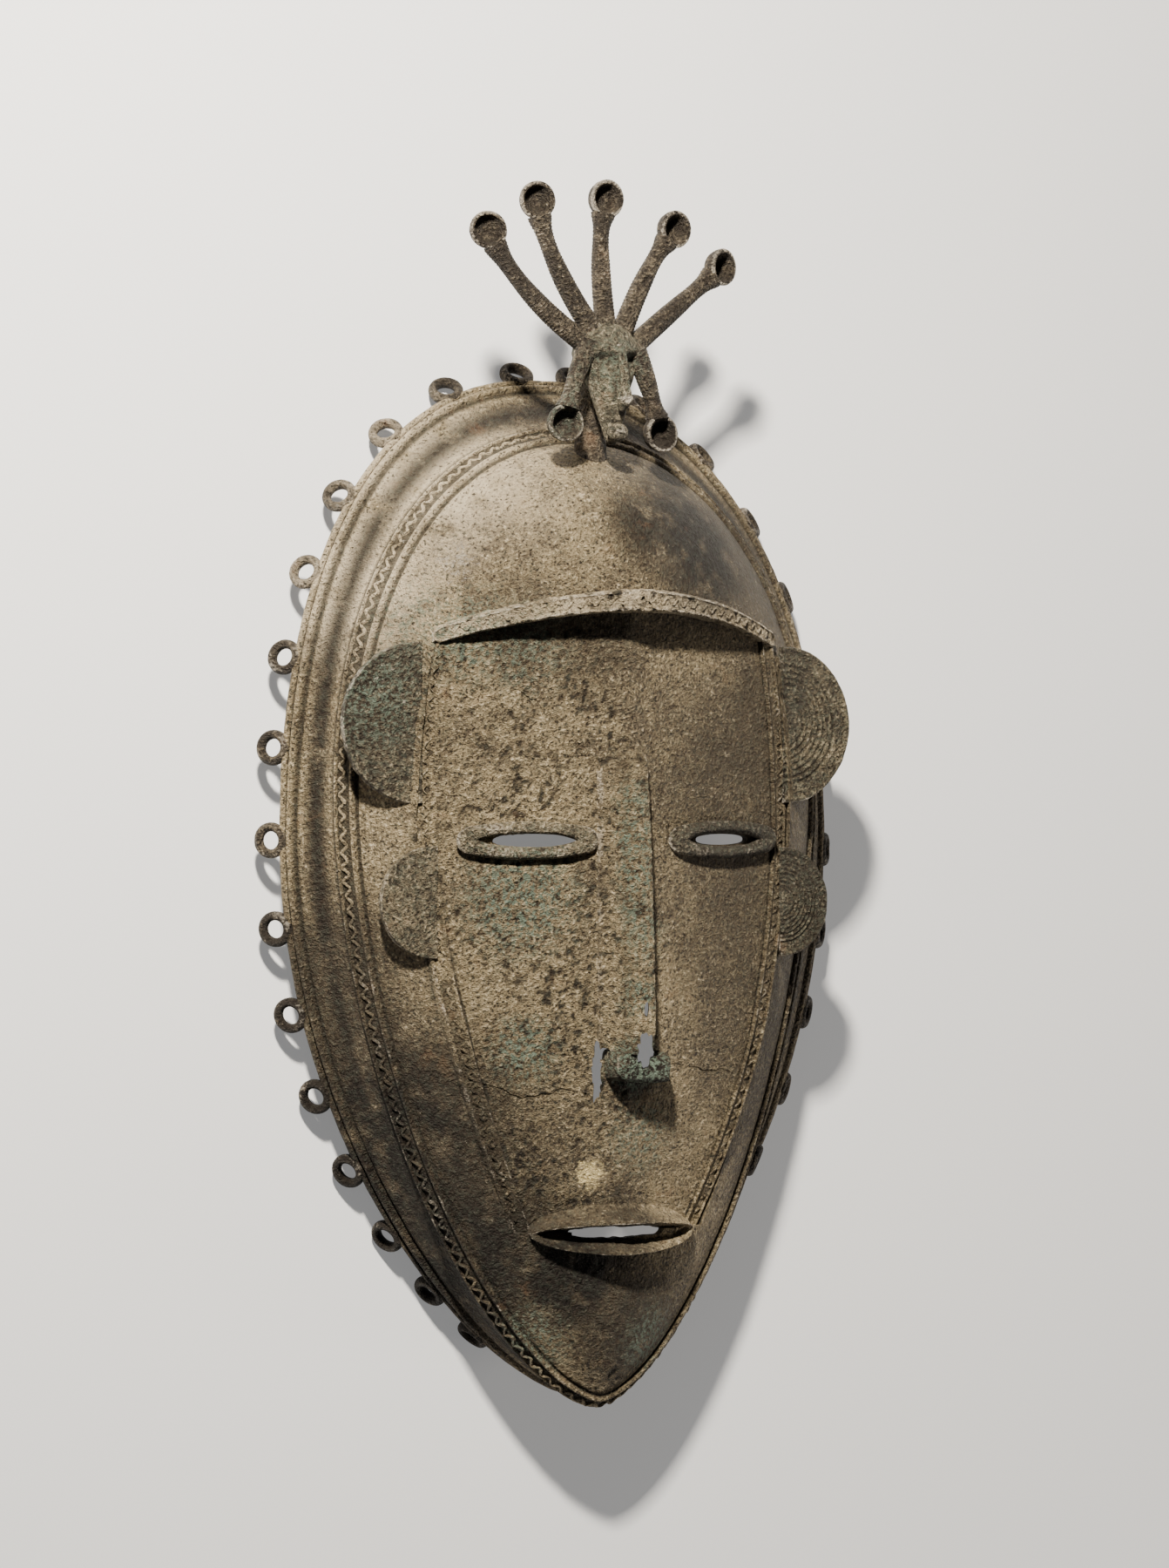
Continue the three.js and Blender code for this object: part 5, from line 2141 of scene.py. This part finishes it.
    def panel(self, space: Piece, face: Face, finish: Material) -> None:
        """Makes the face panel with its worn strips, and painted shade in its cracks and low places and
        between the cords of its strips.

        Args:
            space: The hollow behind it.
            face: Its sizes.
            finish: Its material.
        """
        panel = face.panel(space)
        points = coordinates(panel.data)
        level = points[:, 2] - FORM.face_height(points[:, 0], points[:, 1])
        front = (level > -1.2) & (points[:, 2] > 5)
        strip = front & (level > 0.4)
        amount = np.where(front, self.rough(points) * np.where(strip, 0.5, 1), 0.02)
        worked = self.skin.work(panel, amount, finish)
        # Painted shade, darker the lower a place lies: between the strips' cords, at the bevelled edge, along
        # the inner groove and in the cracks
        groove = np.where(strip, np.clip(1.6 - level * 1.6, 0, 0.8), np.clip(-level * 8, 0, 1))
        store(worked.data, "groove", front * groove)
        self.keep(worked, finish, np.where(strip, np.clip(level * 0.2, 0.05, 0.22), 0.1))

    def features(self, space: Piece, face: Face, brow: Brow, finish: Material, lobed: Material) -> None:
        """Makes the brow, the eyes, the lips, the nose and the ear lobes.

        Args:
            space: The hollow behind them.
            face: The face that they stand on.
            brow: The brow's sizes.
            finish: Material of most of them.
            lobed: Material of the eye rims, the nose's wings and the ear lobes.
        """
        eyes, lobes = Eyes(), EarLobes()
        pieces = [(brow.band(space), 0.9, finish, 0.62)]
        pieces += [(eyes.rim(side, face.eye_y), 0.12, lobed, 0.5) for side in (-1, 1)]
        pieces.append((Lips().piece(space, face), 0.45, finish, 0.4))
        bar, wings = Nose().pieces(space, face)
        # Painted shade along the soft left side of the nose bar
        store(bar.data, "groove", 0.6 * bell(coordinates(bar.data)[:, 0] + 3.4, 1.8))
        pieces += [(bar, 0.8, finish, 0.25), (wings, 0.4, lobed, 0.3)]
        pieces += [(lobes.lobe(k), amount, lobed, 0.3) for k, amount in enumerate((0.75, 0.26, 0.4, 0.26))]
        for piece in pieces:
            self.dress(*piece)

    def crest(self, space: Piece, dark: Material, headed: Material) -> None:
        """Makes the rods, the small head, its strut and the cups.

        Args:
            space: The hollow behind the strut's foot.
            dark: Material of all but the head.
            headed: Material of the head.
        """
        crest = Crest()
        self.keep(crest.wound_rods(dark), dark, 0.16)
        head = crest.head_piece()
        places = coordinates(head.data)
        tips = [((places - tip) ** 2).sum(axis=1) for tip in ((0.3, 132.0, 41.2), (-0.6, 122.9, 39.2))]
        worn = sum(np.exp(-tip / 5) for tip in tips)
        pieces = [(head, 0.1, headed, 0.25 + 0.45 * worn), (crest.strut_piece(space), 0.4, dark, 0.1)]
        for number in range(len(crest.rods)):
            cup, worn = crest.cup(number)
            pieces.append((cup, 0.15, dark, worn))
        for piece in pieces:
            self.dress(*piece)

    def build(self) -> None:
        """Makes and dresses every piece."""
        patinas = (self.patina, self.crest_patina, self.lobe_patina, self.head_patina)
        finish, dark, lobed, headed = (patina.material() for patina in patinas)
        form, face, brow = Shell(), Face(), Brow()
        space = self.space(form)
        self.shell(form, space, face, finish)
        self.panel(space, face, finish)
        self.features(space, face, brow, finish, lobed)
        for piece in Zigzags().pieces(brow, finish):
            self.keep(piece, finish, 0.14)
        self.keep(RimLoops().loops(dark), dark, 0.3)
        self.crest(space, dark, headed)
        self.clear()

    def clear(self) -> None:
        """Removes the tools that are left."""
        for thing in list(bpy.data.objects):
            if thing.type == "MESH" and "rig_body" not in thing:
                bpy.data.objects.remove(thing)


def main() -> None:
    """Builds the mask, the floor, the light and the camera."""
    logging.basicConfig(level=logging.INFO, format="%(message)s")
    studio = Studio()
    studio.camera()
    Mask().build()
    studio.floor()
    studio.light()


if __name__ == "__main__":
    main()
